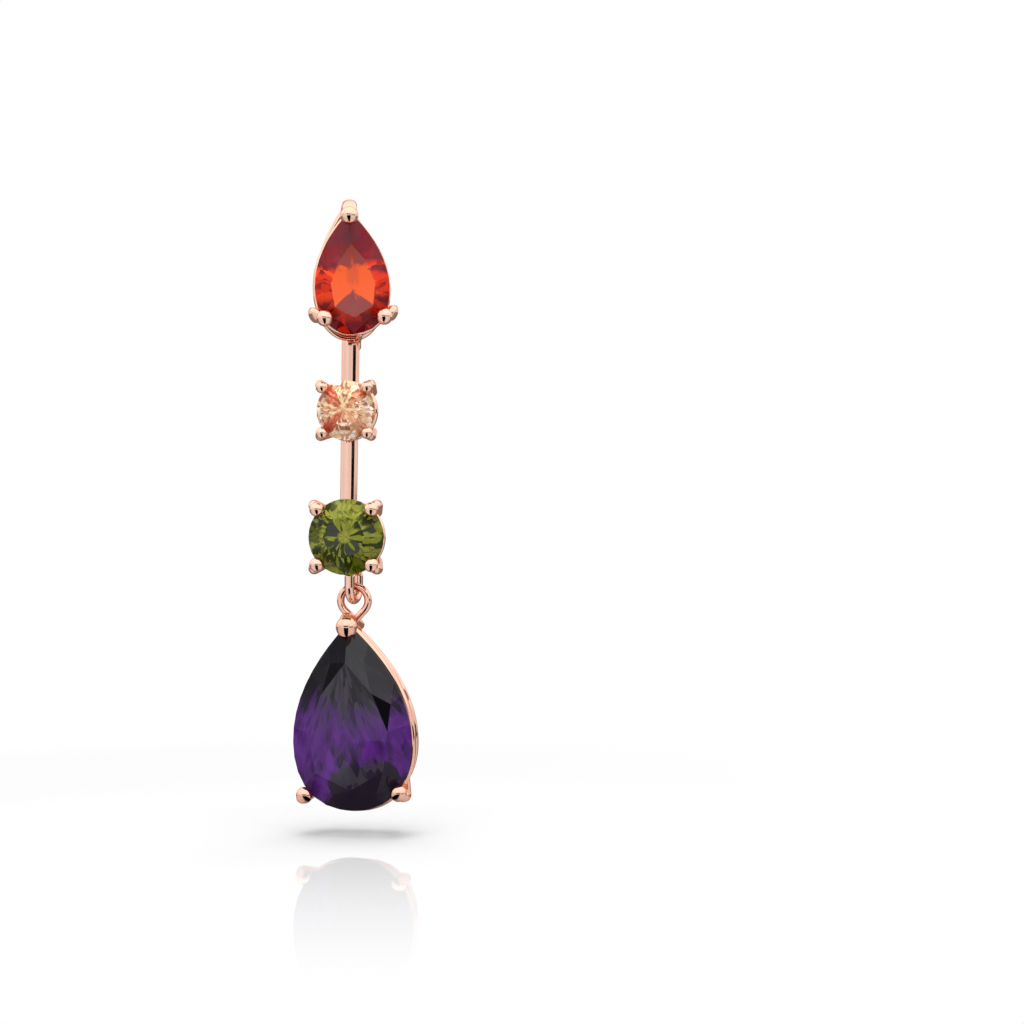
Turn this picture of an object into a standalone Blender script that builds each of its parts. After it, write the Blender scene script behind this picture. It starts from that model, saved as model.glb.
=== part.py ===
"""Drop earring: a claw-set pear stone, a straight bar with two round stones, and a large
pear stone that hangs from an eye. Metres, +Z up, the front faces -Y. The origin is where
the ear post leaves its pad, at the back of the ear lobe's front."""

import math

import bmesh
import bpy
import numpy as np
from mathutils import Matrix

# Sides of the round pieces
WIRE_SIDES = 6
CLAW_SIDES = 8
BAR_SIDES = 16
POST_SIDES = 12

# Points round the rails
TOP_POINTS = 40
ROUND_POINTS = 24
DROP_POINTS = 52

# Clearances between pieces that aren't soldered
STONE_GAP = 0.0001
PAD_GAP = 0.0001
HANG_GAP = 0.0003

# Stones: outline, heights of crown, girdle and pavilion, and the table as a share of the outline
TOP_LENGTH = 0.00800
TOP_WIDTH = 0.00490
TOP_WAIST = 0.00297
TOP_CROWN = 0.00075
TOP_PAVILION = 0.0019
TOP_TABLE = 0.60
CHAMPAGNE_DIAMETER = 0.00392
CHAMPAGNE_CROWN = 0.00062
CHAMPAGNE_PAVILION = 0.00165
GREEN_DIAMETER = 0.0050
GREEN_CROWN = 0.00075
GREEN_PAVILION = 0.0019
ROUND_TABLE = 0.56
DROP_LENGTH = 0.01222
DROP_WIDTH = 0.0080
DROP_WAIST = 0.00445
DROP_CROWN = 0.0010
DROP_PAVILION = 0.0031
DROP_TABLE = 0.68
GIRDLE = 0.00012
FULLNESS = 2.25

# Top basket
TOP_CLAW = 0.00034
TOP_CLAW_SPREAD = 1.6
TOP_BEAD = 0.00055
TOP_BEAD_INSET = 0.00005
TOP_BEAD_SLIP = 0.00050
TOP_TIP_CLAW = 0.00032
TOP_TIP_SPREAD = 1.5
TOP_TIP_BEAD = 0.00060
TOP_TIP_INSET = 0.00043
TOP_TIP_SLIP = -0.00010
TOP_WIRE = 0.00023
TOP_RAIL_DEPTH = 0.00055
TOP_BASE_DEPTH = 0.0025
TOP_BASE_INSET = 0.0003
TOP_BASE_FLARE = 0.00062
TOP_BASE_DROP = 0.0005
TOP_CLAW_SHARE = 0.725
BRIDGE_HEIGHT = 0.0016
BRIDGE_THICKNESS = 0.0005
STAY_SIDE = 0.00042
STAY_WIRE = 0.00022
STAY_BELOW_RAIL = 0.0001

# Round baskets
CHAMPAGNE_CLAW = 0.00032
CHAMPAGNE_BEAD = 0.00040
GREEN_CLAW = 0.00036
GREEN_BEAD = 0.00048
ROUND_WIRE = 0.00024
ROUND_RAIL_DEPTH = 0.00085
ROUND_SEAT = 0.8
ROUND_BASE_INSET = 0.00045
ROUND_BASE_DEPTH = 0.0023

# Bar behind the round baskets
BAR_TOP_RADIUS = 0.000605
BAR_END_RADIUS = 0.00055
BAR_DEPTH = 0.0029
BAR_BELOW_GREEN = 0.0014

# Eye under the green basket
EYE_WIRE = 0.000315
EYE_SPAN = 0.0016
EYE_REACH = 0.00164

# Hanging basket and its bail loop
DROP_CLAW = 0.00042
DROP_TIP_CLAW = 0.00034
DROP_BEAD = 0.00055
DROP_TIP_BEAD = 0.00070
DROP_TIP_INSET = 0.00015
DROP_TIP_SLIP = 0.00024
DROP_WIRE = 0.00024
DROP_RAIL_DEPTH = 0.0007
DROP_BASE_DEPTH = 0.0030
DROP_BASE_INSET = 0.00050
DROP_TIP_REAR_INSET = 0.0002
DROP_CLAW_SHARE = 0.785
STRUT_SHARE = 0.375
STRUT_HALF_WIDTH = 0.0005
STRUT_HALF_THICKNESS = 0.0002
LOOP_WIRE = 0.00025
LOOP_RADIUS = 0.00093
LOOP_FOOT = 0.00130
LOOP_BEHIND_STONE = 0.0012
LOOP_SIDE = 0.0002

# Ear post
POST_RADIUS = 0.000425
POST_LENGTH = 0.0105
POST_NOTCH_FROM_END = 0.0022
POST_NOTCH_DEPTH = 0.0001
PAD_RADIUS = 0.0011
PAD_THICKNESS = 0.0004

# Places along the earring, sideways offsets and small turns, as it was soldered and hangs
POST_ABOVE_TOP_WAIST = 0.00203
TOP_SIDE = 0.00038
TOP_TO_CHAMPAGNE = 0.00802
CHAMPAGNE_TO_GREEN = 0.00829
STONE_SIDE = -0.00003
BAR_TOP_SIDE = 0.00008
BAR_ABOVE_RAIL = 0.00045
BAR_END_SIDE = -0.00012
EYE_SIDE = 0.0004
TOP_LEAN = math.radians(-2.3)
TOP_TURN = math.radians(8)
ROUND_TURN = math.radians(-7)
EYE_TURN = math.radians(-18)
DROP_LEAN = math.radians(-2.3)
DROP_TURN = math.radians(-11)

# Heights and depths that follow from the sizes
GIRDLE_Y = -(TOP_BASE_DEPTH + BRIDGE_THICKNESS / 2 + PAD_GAP + PAD_THICKNESS)
TOP_Z = -POST_ABOVE_TOP_WAIST
CHAMPAGNE_Z = TOP_Z - TOP_TO_CHAMPAGNE
GREEN_Z = CHAMPAGNE_Z - CHAMPAGNE_TO_GREEN
EYE_LOW_Z = GREEN_Z - GREEN_DIAMETER / 2 - EYE_REACH
HINGE_Z = EYE_LOW_Z + EYE_WIRE + HANG_GAP + LOOP_WIRE
HINGE_Y = GIRDLE_Y + LOOP_BEHIND_STONE

ROSE_GOLD = (0.83, 0.52, 0.40)
COPPERY_GOLD = (0.80, 0.44, 0.32)
POST_GOLD = (0.80, 0.54, 0.43)
ORANGE = (0.75, 0.07, 0.015)
CHAMPAGNE = (0.88, 0.66, 0.44)
GREEN = (0.24, 0.30, 0.02)
PURPLE = (0.10, 0.02, 0.19)


def clear_scene():
    for item in list(bpy.data.objects):
        bpy.data.objects.remove(item, do_unlink=True)


def material(name, colour, metallic, roughness):
    """A Principled material of one colour."""
    made = bpy.data.materials.new(name)
    made.use_nodes = True
    shader = made.node_tree.nodes["Principled BSDF"]
    shader.inputs["Base Color"].default_value = (*colour, 1)
    shader.inputs["Metallic"].default_value = metallic
    shader.inputs["Roughness"].default_value = roughness
    return made


def empty(name, place, lean=0.0, turn=0.0):
    """A frame that a sub-part is built in: its origin, its lean to the side and its turn about Z."""
    made = bpy.data.objects.new(name, None)
    made.location = place
    made.rotation_euler = (0, lean, turn)
    bpy.context.scene.collection.objects.link(made)
    return made


def to_object(name, mesh_data, parent):
    """Ends a bmesh: faces outwards, one object under its frame."""
    bmesh.ops.recalc_face_normals(mesh_data, faces=mesh_data.faces)
    mesh = bpy.data.meshes.new(name)
    mesh_data.to_mesh(mesh)
    mesh_data.free()
    made = bpy.data.objects.new(name, mesh)
    made.parent = parent
    bpy.context.scene.collection.objects.link(made)
    return made


def half_pear(length, width, waist, points=240):
    """Right half of a pear outline in (x, z), from the tip to the bottom, widest at z = 0.
    Above the waist it is a parabola, below it a slightly full ellipse."""
    rise = length - waist
    up = np.linspace(1, 0, points)
    above = np.column_stack([width / 2 * (1 - up**2), rise * up])
    angle = np.linspace(0, math.pi / 2, points)[1:]
    power = 2 / FULLNESS
    below = np.column_stack(
        [width / 2 * np.abs(np.cos(angle)) ** power, -waist * np.sin(angle) ** power]
    )
    below[-1, 0] = 0
    return np.vstack([above, below])


def half_circle(diameter, points=240):
    """Right half of a circle in (x, z), from the top to the bottom."""
    angle = np.linspace(0, math.pi, points)
    half = np.column_stack([np.sin(angle), np.cos(angle)]) * diameter / 2
    half[-1, 0] = 0
    return half


def half_normals(half):
    """Outward normals of a right half outline, straight down at its bottom end."""
    along = np.gradient(half, axis=0)
    normals = np.column_stack([-along[:, 1], along[:, 0]])
    normals /= np.linalg.norm(normals, axis=1)[:, None]
    normals[-1] = (0, -1)
    return normals


def resampled(points, count):
    """The same open line as count + 1 points at equal steps."""
    steps = np.linalg.norm(np.diff(points, axis=0), axis=1)
    run = np.concatenate([[0], np.cumsum(steps)])
    at = np.linspace(0, run[-1], count + 1)
    return np.column_stack([np.interp(at, run, points[:, i]) for i in range(2)])


def mirrored_ring(half):
    """A closed ring from a right half: tip first, then clockwise seen from the front."""
    left = half[-2:0:-1] * (-1, 1)
    return np.vstack([half, left])


def offset_ring(half, offset, count, drop=0.0, flare=0.0):
    """A closed ring of count points at an offset outside a half outline. The corner at the
    tip becomes an arc, drop stretches the part below the waist, and flare is what the offset
    gains on the way up to the tip."""
    normals = half_normals(half)
    shift = offset + flare * np.clip(half[:, 1] / half[0, 1], 0, 1) ** 2
    moved = half + shift[:, None] * normals
    if shift[0] > 0:
        first = math.atan2(normals[0, 0], normals[0, 1])
        arc = np.linspace(0, first, 6, endpoint=False)
        corner = half[0] + shift[0] * np.column_stack([np.sin(arc), np.cos(arc)])
        moved = np.vstack([corner, moved])
    else:
        moved = moved[moved[:, 0] >= 0]
        moved[0, 0] = 0
    moved[-1, 0] = 0
    low = np.clip(moved[:, 1] / half[-1, 1], 0, None)
    moved[:, 1] -= drop * low**2
    return mirrored_ring(resampled(moved, count // 2))


def point_at(half, share, side):
    """Point, outward normal and downward tangent at a share of a half outline, on side +1 or -1."""
    steps = np.linalg.norm(np.diff(half, axis=0), axis=1)
    run = np.concatenate([[0], np.cumsum(steps)]) / steps.sum()
    normals = half_normals(half)
    point = np.array([np.interp(share, run, half[:, i]) for i in range(2)])
    normal = np.array([np.interp(share, run, normals[:, i]) for i in range(2)])
    if share == 0:
        normal = np.array([0.0, 1.0])
    normal /= np.linalg.norm(normal)
    tangent = np.array([normal[1], -normal[0]])
    flip = np.array([side, 1])
    return point * flip, normal * flip, tangent * flip


def tube(name, path, radius, across, sides, parent, closed=False, squash=1.0):
    """A tube along a path that lies in one plane. across is that plane's normal, radius one
    value or one for each point, and squash narrows the section across the path's plane."""
    path = np.asarray(path, float)
    across = np.asarray(across, float)
    if closed:
        along = np.roll(path, -1, axis=0) - np.roll(path, 1, axis=0)
    else:
        along = np.gradient(path, axis=0)
    along /= np.linalg.norm(along, axis=1)[:, None]
    aside = np.cross(across, along)
    radii = np.broadcast_to(radius, len(path))[:, None, None]
    turn = (np.arange(sides) + 0.5) * 2 * math.pi / sides
    section = np.cos(turn)[None, :, None] * aside[:, None, :]
    section = section + squash * np.sin(turn)[None, :, None] * across
    points = path[:, None, :] + radii * section
    mesh_data = bmesh.new()
    rings = [[mesh_data.verts.new(point) for point in ring] for ring in points]
    pairs = list(zip(rings, rings[1:]))
    if closed:
        pairs.append((rings[-1], rings[0]))
    else:
        mesh_data.faces.new(rings[0])
        mesh_data.faces.new(rings[-1])
    for low, high in pairs:
        for i in range(sides):
            j = (i + 1) % sides
            mesh_data.faces.new((low[i], low[j], high[j], high[i]))
    return to_object(name, mesh_data, parent)


def ball(name, centre, radius, parent):
    """A round bead of solder-smooth metal at a claw's end."""
    mesh_data = bmesh.new()
    place = Matrix.Translation(centre)
    bmesh.ops.create_uvsphere(
        mesh_data, u_segments=10, v_segments=7, radius=radius, matrix=place
    )
    return to_object(name, mesh_data, parent)


def block(name, centre, size, parent):
    """A plain rectangular piece."""
    mesh_data = bmesh.new()
    place = Matrix.Translation(centre) @ Matrix.Diagonal((*size, 1))
    bmesh.ops.create_cube(mesh_data, size=1, matrix=place)
    return to_object(name, mesh_data, parent)


def solder(name, body, pieces, finish):
    """Joins touching pieces to a body by Boolean union, so that they are one solid."""
    joined = bpy.data.collections.new(name + "_pieces")
    bpy.context.scene.collection.children.link(joined)
    for piece in pieces:
        bpy.context.scene.collection.objects.unlink(piece)
        joined.objects.link(piece)
        piece.hide_render = True
        piece.display_type = "WIRE"
    join = body.modifiers.new("Solder", "BOOLEAN")
    join.operation = "UNION"
    join.operand_type = "COLLECTION"
    join.collection = joined
    join.solver = "EXACT"
    body.name = name
    body.data.materials.append(finish)
    body.data.shade_smooth()
    return body


def bead_front(inset, bead, crown, table_inset):
    """How far in front of the girdle a bead's centre lies, to clear the crown by STONE_GAP."""
    slope = crown / table_inset
    return GIRDLE / 2 + slope * inset + (bead + STONE_GAP) * math.hypot(1, slope)


def claw_offset(claw, rear_offset, base_depth, depth):
    """Offset of a claw's centre line outside the girdle outline at a depth behind the girdle."""
    shoulder = STONE_GAP + claw
    return shoulder + (rear_offset - shoulder) * depth / base_depth


def claw(name, place, sizes, parent):
    """A claw: a leg from the base rail past the girdle, bent over the crown to its bead.
    place is point, normal and tangent; sizes holds its named sizes."""
    point, normal, tangent = place
    base = sizes["base_depth"] + sizes["claw"]
    shoulder = STONE_GAP + sizes["claw"]
    rear = claw_offset(sizes["claw"], sizes["rear_offset"], sizes["base_depth"], base)
    front = bead_front(sizes["inset"], sizes["bead"], sizes["crown"], sizes["table_inset"])
    bend = np.linspace(0, 1, 5)[:, None]
    start = np.array([shoulder, 0, 0])
    corner = np.array([shoulder, 0, -front])
    end = np.array([-sizes["inset"], sizes["slip"], -front])
    curve = (1 - bend) ** 2 * start + 2 * bend * (1 - bend) * corner + bend**2 * end
    line = np.vstack([[rear, 0, base], curve])
    out = line[:, :1] * normal + line[:, 1:2] * tangent
    path = np.column_stack([point[0] + out[:, 0], line[:, 2], point[1] + out[:, 1]])
    across = (tangent[0], 0, tangent[1])
    spread = sizes.get("spread", 1.0)
    leg = tube(name + "_leg", path, sizes["claw"], across, CLAW_SIDES, parent, squash=spread)
    bead = ball(name + "_bead", path[-1], sizes["bead"], parent)
    return [leg, bead]


def rail(name, half, offset, depth, wire, count, parent, drop=0.0, flare=0.0):
    """A closed wire rail behind the girdle, at an offset outside its outline."""
    ring = offset_ring(half, offset, count, drop, flare)
    path = np.column_stack([ring[:, 0], np.full(len(ring), depth), ring[:, 1]])
    return tube(name, path, wire, (0, 1, 0), WIRE_SIDES, parent, closed=True)


def rail_offset(wire):
    """Offset of an upper rail that just rims the stone: half its wire inside the girdle."""
    return -wire / 2


def cut_stone(name, half, heights, table, finish, parent, mains=8):
    """A brilliant cut on any outline. heights is crown and pavilion. The crown has star,
    main and girdle facets round the table, and the pavilion mains and girdle facets meet
    in the culet."""
    crown, pavilion = heights
    girdle = mirrored_ring(resampled(half, mains * 2))
    count = len(girdle)
    step = count // mains
    middle = (1 + table) / 2
    depth_middle = crown * 0.46
    mesh_data = bmesh.new()

    def ring(points, share, depth):
        return [mesh_data.verts.new((x * share, depth, z * share)) for x, z in points]

    top = ring(girdle[::step], table, -crown - GIRDLE / 2)
    star = ring(girdle[step // 2 :: step], middle * 0.99, -depth_middle - GIRDLE / 2)
    front = ring(girdle, 1, -GIRDLE / 2)
    back = ring(girdle, 1, GIRDLE / 2)
    lower = ring(girdle[step // 2 :: step], 0.3, pavilion * 0.74 + GIRDLE / 2)
    culet = mesh_data.verts.new((0, pavilion + GIRDLE / 2, 0))
    add = mesh_data.faces.new
    add(top)
    for i in range(mains):
        j = (i + 1) % mains
        base = i * step
        after = (base + step) % count
        add((top[i], top[j], star[i]))
        add((top[i], star[i], front[base]))
        add((top[j], front[after], star[i]))
        add((culet, lower[i], back[base]))
        add((culet, back[after], lower[i]))
        for k in range(base, base + step):
            m = (k + 1) % count
            add((star[i], front[m], front[k]))
            add((lower[i], back[k], back[m]))
            add((front[k], front[m], back[m], back[k]))
    made = to_object(name, mesh_data, parent)
    made.data.materials.append(finish)
    return made


def round_basket(name, diameter, crown, sizes, parent):
    """A four-claw basket with two ring rails for a round brilliant."""
    half = half_circle(diameter)
    sizes = {
        **sizes,
        "base_depth": ROUND_BASE_DEPTH,
        "crown": crown,
        "table_inset": (1 - ROUND_TABLE) * diameter / 2,
        "slip": 0.0,
    }
    wire = ROUND_WIRE
    leg = claw_offset(sizes["claw"], sizes["rear_offset"], ROUND_BASE_DEPTH, ROUND_RAIL_DEPTH)
    upper = leg - ROUND_SEAT * (sizes["claw"] + wire)
    base = sizes["rear_offset"] - ROUND_BASE_INSET
    made = [
        rail(name + "_rail", half, upper, ROUND_RAIL_DEPTH, wire, ROUND_POINTS, parent),
        rail(name + "_base", half, base, ROUND_BASE_DEPTH, wire, ROUND_POINTS, parent),
    ]
    for row, share in (("upper", 0.25), ("lower", 0.75)):
        for label, side in (("left", -1), ("right", 1)):
            place = point_at(half, share, side)
            made += claw(f"{name}_{row}_{label}", place, sizes, parent)
    return made


def stay_foot():
    """Height of the stay's foot above the stone's waist: just under the base rail."""
    return TOP_BASE_INSET - TOP_WAIST - TOP_BASE_DROP - STAY_BELOW_RAIL


def top_basket(parent):
    """The three-claw basket of the upper pear stone, its back bridge and the stay to the bar."""
    half = half_pear(TOP_LENGTH, TOP_WIDTH, TOP_WAIST)
    sizes = {
        "claw": TOP_CLAW,
        "bead": TOP_BEAD,
        "base_depth": TOP_BASE_DEPTH,
        "rear_offset": -0.4 * TOP_CLAW,
        "crown": TOP_CROWN,
        "table_inset": (1 - TOP_TABLE) * TOP_WIDTH / 2,
    }
    count = TOP_POINTS
    bends = {"drop": TOP_BASE_DROP, "flare": TOP_BASE_FLARE}
    made = [
        rail("top_rail", half, rail_offset(TOP_WIRE), TOP_RAIL_DEPTH, TOP_WIRE, count, parent),
        rail("top_base", half, -TOP_BASE_INSET, TOP_BASE_DEPTH, TOP_WIRE, count, parent, **bends),
    ]
    tip = {
        **sizes,
        "claw": TOP_TIP_CLAW,
        "bead": TOP_TIP_BEAD,
        "spread": TOP_TIP_SPREAD,
        "inset": TOP_TIP_INSET,
        "slip": TOP_TIP_SLIP,
    }
    made += claw("top_tip_claw", point_at(half, 0, 1), tip, parent)
    low = {
        **sizes,
        "spread": TOP_CLAW_SPREAD,
        "inset": TOP_BEAD_INSET,
        "slip": TOP_BEAD_SLIP,
    }
    for label, side in (("left", -1), ("right", 1)):
        made += claw(f"top_{label}_claw", point_at(half, TOP_CLAW_SHARE, side), low, parent)
    height = POST_ABOVE_TOP_WAIST
    reach = np.interp(-height, -half[::-1, 1][::-1], half[:, 0])
    edge = TOP_BASE_FLARE * (height / (TOP_LENGTH - TOP_WAIST)) ** 2 - TOP_BASE_INSET
    bridge = (2 * reach + 2 * edge - TOP_WIRE, BRIDGE_THICKNESS, BRIDGE_HEIGHT)
    made.append(block("top_bridge", (0, TOP_BASE_DEPTH, height), bridge, parent))
    foot = stay_foot()
    start = -TOP_WAIST - rail_offset(TOP_WIRE) / 2
    stay = [
        (STAY_SIDE, TOP_RAIL_DEPTH, start),
        (STAY_SIDE, (TOP_RAIL_DEPTH + TOP_BASE_DEPTH) / 2, start + 0.75 * (foot - start)),
        (STAY_SIDE, TOP_BASE_DEPTH, foot),
        (STAY_SIDE, BAR_DEPTH, foot - BAR_TOP_RADIUS),
    ]
    made.append(tube("top_stay", stay, STAY_WIRE, (1, 0, 0), WIRE_SIDES, parent))
    return made


def eye(parent):
    """The U of wire that the bail hangs in. Its legs reach the green basket's two rails."""
    bend = np.linspace(math.pi, 2 * math.pi, 9)
    half_span = EYE_SPAN / 2
    arc = [(0, half_span * math.cos(a), half_span * math.sin(a)) for a in bend]
    rise = EYE_REACH - half_span + ROUND_WIRE
    path = [(0, -half_span, rise), *arc, (0, half_span, rise)]
    return tube("eye_wire", path, EYE_WIRE, (1, 0, 0), WIRE_SIDES, parent)


def bail_loop(parent):
    """The teardrop loop in the hanging frame: a circle whose legs run straight to its foot."""
    tangent_angle = math.acos(LOOP_RADIUS / LOOP_FOOT)
    first = -math.pi / 2 + tangent_angle
    turn = np.linspace(first, math.pi - first, 17)
    arc = [(LOOP_RADIUS * math.cos(a), 0, LOOP_RADIUS * (math.sin(a) - 1)) for a in turn]
    foot = (0, 0, -LOOP_RADIUS - LOOP_FOOT)
    path = [foot, *arc]
    return tube("bail_wire", path, LOOP_WIRE, (0, 1, 0), WIRE_SIDES, parent, closed=True)


def drop_basket(parent, hang):
    """The three-claw basket of the large pear stone, with struts between its rails."""
    half = half_pear(DROP_LENGTH, DROP_WIDTH, DROP_WAIST)
    sizes = {
        "base_depth": DROP_BASE_DEPTH,
        "rear_offset": -DROP_BASE_INSET,
        "crown": DROP_CROWN,
        "table_inset": (1 - DROP_TABLE) * DROP_WIDTH / 2,
        "slip": 0.0,
    }
    wire = DROP_WIRE
    made = [
        rail("drop_rail", half, rail_offset(wire), DROP_RAIL_DEPTH, wire, DROP_POINTS, parent),
        rail("drop_base", half, -DROP_BASE_INSET, DROP_BASE_DEPTH, wire, DROP_POINTS, parent),
    ]
    tip = {
        **sizes,
        "claw": DROP_TIP_CLAW,
        "bead": DROP_TIP_BEAD,
        "inset": DROP_TIP_INSET,
        "slip": DROP_TIP_SLIP,
        "rear_offset": -DROP_TIP_REAR_INSET,
    }
    made += claw("drop_tip_claw", point_at(half, 0, 1), tip, parent)
    low = {**sizes, "claw": DROP_CLAW, "bead": DROP_BEAD, "inset": -0.36 * DROP_BEAD}
    for label, side in (("left", -1), ("right", 1)):
        made += claw(f"drop_{label}_claw", point_at(half, DROP_CLAW_SHARE, side), low, parent)
        point, normal, tangent = point_at(half, STRUT_SHARE, side)
        upper = point + rail_offset(DROP_WIRE) * normal
        lower = point - DROP_BASE_INSET * normal
        path = [
            (upper[0], DROP_RAIL_DEPTH, upper[1]),
            (lower[0], DROP_BASE_DEPTH, lower[1]),
        ]
        across = (tangent[0], 0, tangent[1])
        squash = STRUT_HALF_WIDTH / STRUT_HALF_THICKNESS
        name = f"drop_{label}_strut"
        thickness = STRUT_HALF_THICKNESS
        made.append(tube(name, path, thickness, across, CLAW_SIDES, parent, squash=squash))
    made.append(bail_loop(hang))
    return made


def ear_post(finish):
    """The pin with its pad, turned about Y. A notch near the end holds the ear nut."""
    notch = POST_LENGTH - POST_NOTCH_FROM_END
    profile = [
        (-PAD_THICKNESS, PAD_RADIUS * 0.9),
        (-PAD_THICKNESS * 0.75, PAD_RADIUS),
        (-PAD_THICKNESS * 0.1, PAD_RADIUS),
        (0, PAD_RADIUS * 0.95),
        (0, POST_RADIUS),
        (notch, POST_RADIUS),
        (notch + POST_NOTCH_DEPTH, POST_RADIUS - POST_NOTCH_DEPTH),
        (notch + 5 * POST_NOTCH_DEPTH, POST_RADIUS - POST_NOTCH_DEPTH),
        (notch + 6 * POST_NOTCH_DEPTH, POST_RADIUS),
        (POST_LENGTH - POST_RADIUS, POST_RADIUS),
        (POST_LENGTH - POST_RADIUS * 0.3, POST_RADIUS * 0.7),
        (POST_LENGTH, POST_RADIUS * 0.25),
    ]
    mesh_data = bmesh.new()
    rings = []
    for y, radius in profile:
        turn = [2 * math.pi * (i + 0.5) / POST_SIDES for i in range(POST_SIDES)]
        points = [(radius * math.cos(a), y, radius * math.sin(a)) for a in turn]
        rings.append([mesh_data.verts.new(point) for point in points])
    for low, high in zip(rings, rings[1:]):
        for i in range(POST_SIDES):
            j = (i + 1) % POST_SIDES
            mesh_data.faces.new((low[i], low[j], high[j], high[i]))
    mesh_data.faces.new(rings[0])
    mesh_data.faces.new(rings[-1])
    made = to_object("ear_post", mesh_data, None)
    made.data.materials.append(finish)
    return made


def build():
    clear_scene()
    gold = material("rose_gold", ROSE_GOLD, 1, 0.12)
    copper = material("coppery_rose_gold", COPPERY_GOLD, 1, 0.14)
    post_gold = material("post_gold", POST_GOLD, 1, 0.2)
    orange = material("orange_cut_stone", ORANGE, 0, 0.05)
    champagne = material("champagne_cut_stone", CHAMPAGNE, 0, 0.05)
    green = material("green_cut_stone", GREEN, 0, 0.05)
    purple = material("purple_cut_stone", PURPLE, 0, 0.05)

    top = empty("top_frame", (TOP_SIDE, GIRDLE_Y, TOP_Z), TOP_LEAN, TOP_TURN)
    champagne_place = empty("champagne_frame", (STONE_SIDE, GIRDLE_Y, CHAMPAGNE_Z), 0, ROUND_TURN)
    green_place = empty("green_frame", (STONE_SIDE, GIRDLE_Y, GREEN_Z), 0, ROUND_TURN)
    eye_place = empty("eye_frame", (EYE_SIDE, HINGE_Y, EYE_LOW_Z + EYE_SPAN / 2), 0, EYE_TURN)
    hang = empty("pendant_hinge", (EYE_SIDE, HINGE_Y, HINGE_Z), DROP_LEAN, DROP_TURN)
    drop = empty("drop_stone_frame", (0, 0, 0))
    drop.parent = hang
    foot_offset = claw_offset(
        DROP_TIP_CLAW, -DROP_TIP_REAR_INSET, DROP_BASE_DEPTH, LOOP_BEHIND_STONE
    )
    tip_drop = LOOP_RADIUS + LOOP_FOOT + foot_offset
    rise = DROP_LENGTH - DROP_WAIST
    drop.location = (-LOOP_SIDE, -LOOP_BEHIND_STONE, -tip_drop - rise)

    bar_top = TOP_Z + stay_foot() + BAR_ABOVE_RAIL
    bar_end = GREEN_Z - BAR_BELOW_GREEN
    bar_path = [
        (BAR_TOP_SIDE, GIRDLE_Y + BAR_DEPTH, bar_top),
        (BAR_END_SIDE, GIRDLE_Y + BAR_DEPTH, bar_end),
    ]
    bar = tube("bar", bar_path, (BAR_TOP_RADIUS, BAR_END_RADIUS), (0, 1, 0), BAR_SIDES, None)
    champagne_sizes = {
        "claw": CHAMPAGNE_CLAW,
        "bead": CHAMPAGNE_BEAD,
        "inset": -0.4 * CHAMPAGNE_BEAD,
        "rear_offset": -0.2 * CHAMPAGNE_CLAW,
    }
    green_sizes = {
        "claw": GREEN_CLAW,
        "bead": GREEN_BEAD,
        "inset": -0.12 * GREEN_BEAD,
        "rear_offset": -0.5 * GREEN_CLAW,
    }
    pieces = top_basket(top)
    pieces += round_basket(
        "champagne", CHAMPAGNE_DIAMETER, CHAMPAGNE_CROWN, champagne_sizes, champagne_place
    )
    pieces += round_basket("green", GREEN_DIAMETER, GREEN_CROWN, green_sizes, green_place)
    pieces.append(eye(eye_place))
    solder("upper_frame", bar, pieces, gold)

    drop_pieces = drop_basket(drop, hang)
    solder("pendant_setting", drop_pieces[0], drop_pieces[1:], copper)

    top_half = half_pear(TOP_LENGTH, TOP_WIDTH, TOP_WAIST)
    drop_half = half_pear(DROP_LENGTH, DROP_WIDTH, DROP_WAIST)
    cut_stone("orange_stone", top_half, (TOP_CROWN, TOP_PAVILION), TOP_TABLE, orange, top)
    cut_stone(
        "champagne_stone",
        half_circle(CHAMPAGNE_DIAMETER),
        (CHAMPAGNE_CROWN, CHAMPAGNE_PAVILION),
        ROUND_TABLE,
        champagne,
        champagne_place,
    )
    cut_stone(
        "green_stone",
        half_circle(GREEN_DIAMETER),
        (GREEN_CROWN, GREEN_PAVILION),
        ROUND_TABLE,
        green,
        green_place,
    )
    cut_stone("purple_stone", drop_half, (DROP_CROWN, DROP_PAVILION), DROP_TABLE, purple, drop)
    ear_post(post_gold)


build()
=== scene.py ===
import math

import bpy
import numpy as np
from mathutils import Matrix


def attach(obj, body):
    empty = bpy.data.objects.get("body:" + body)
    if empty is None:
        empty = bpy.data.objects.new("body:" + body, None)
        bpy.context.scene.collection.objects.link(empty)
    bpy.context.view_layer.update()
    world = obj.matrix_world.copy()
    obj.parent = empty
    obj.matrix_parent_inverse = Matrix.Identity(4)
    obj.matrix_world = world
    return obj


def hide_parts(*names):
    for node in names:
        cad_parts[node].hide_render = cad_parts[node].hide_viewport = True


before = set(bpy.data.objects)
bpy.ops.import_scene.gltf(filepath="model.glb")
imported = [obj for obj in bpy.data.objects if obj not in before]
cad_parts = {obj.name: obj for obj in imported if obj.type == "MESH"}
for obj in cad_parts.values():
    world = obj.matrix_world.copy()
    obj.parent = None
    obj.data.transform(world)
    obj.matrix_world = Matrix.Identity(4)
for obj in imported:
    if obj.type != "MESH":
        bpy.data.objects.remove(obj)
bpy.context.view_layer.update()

# The top rails: two closed rose gold wires bent to the pear stone's outline, one just behind
# its girdle and a wider one at the back. Every other part of the top basket is soldered to them.

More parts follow.
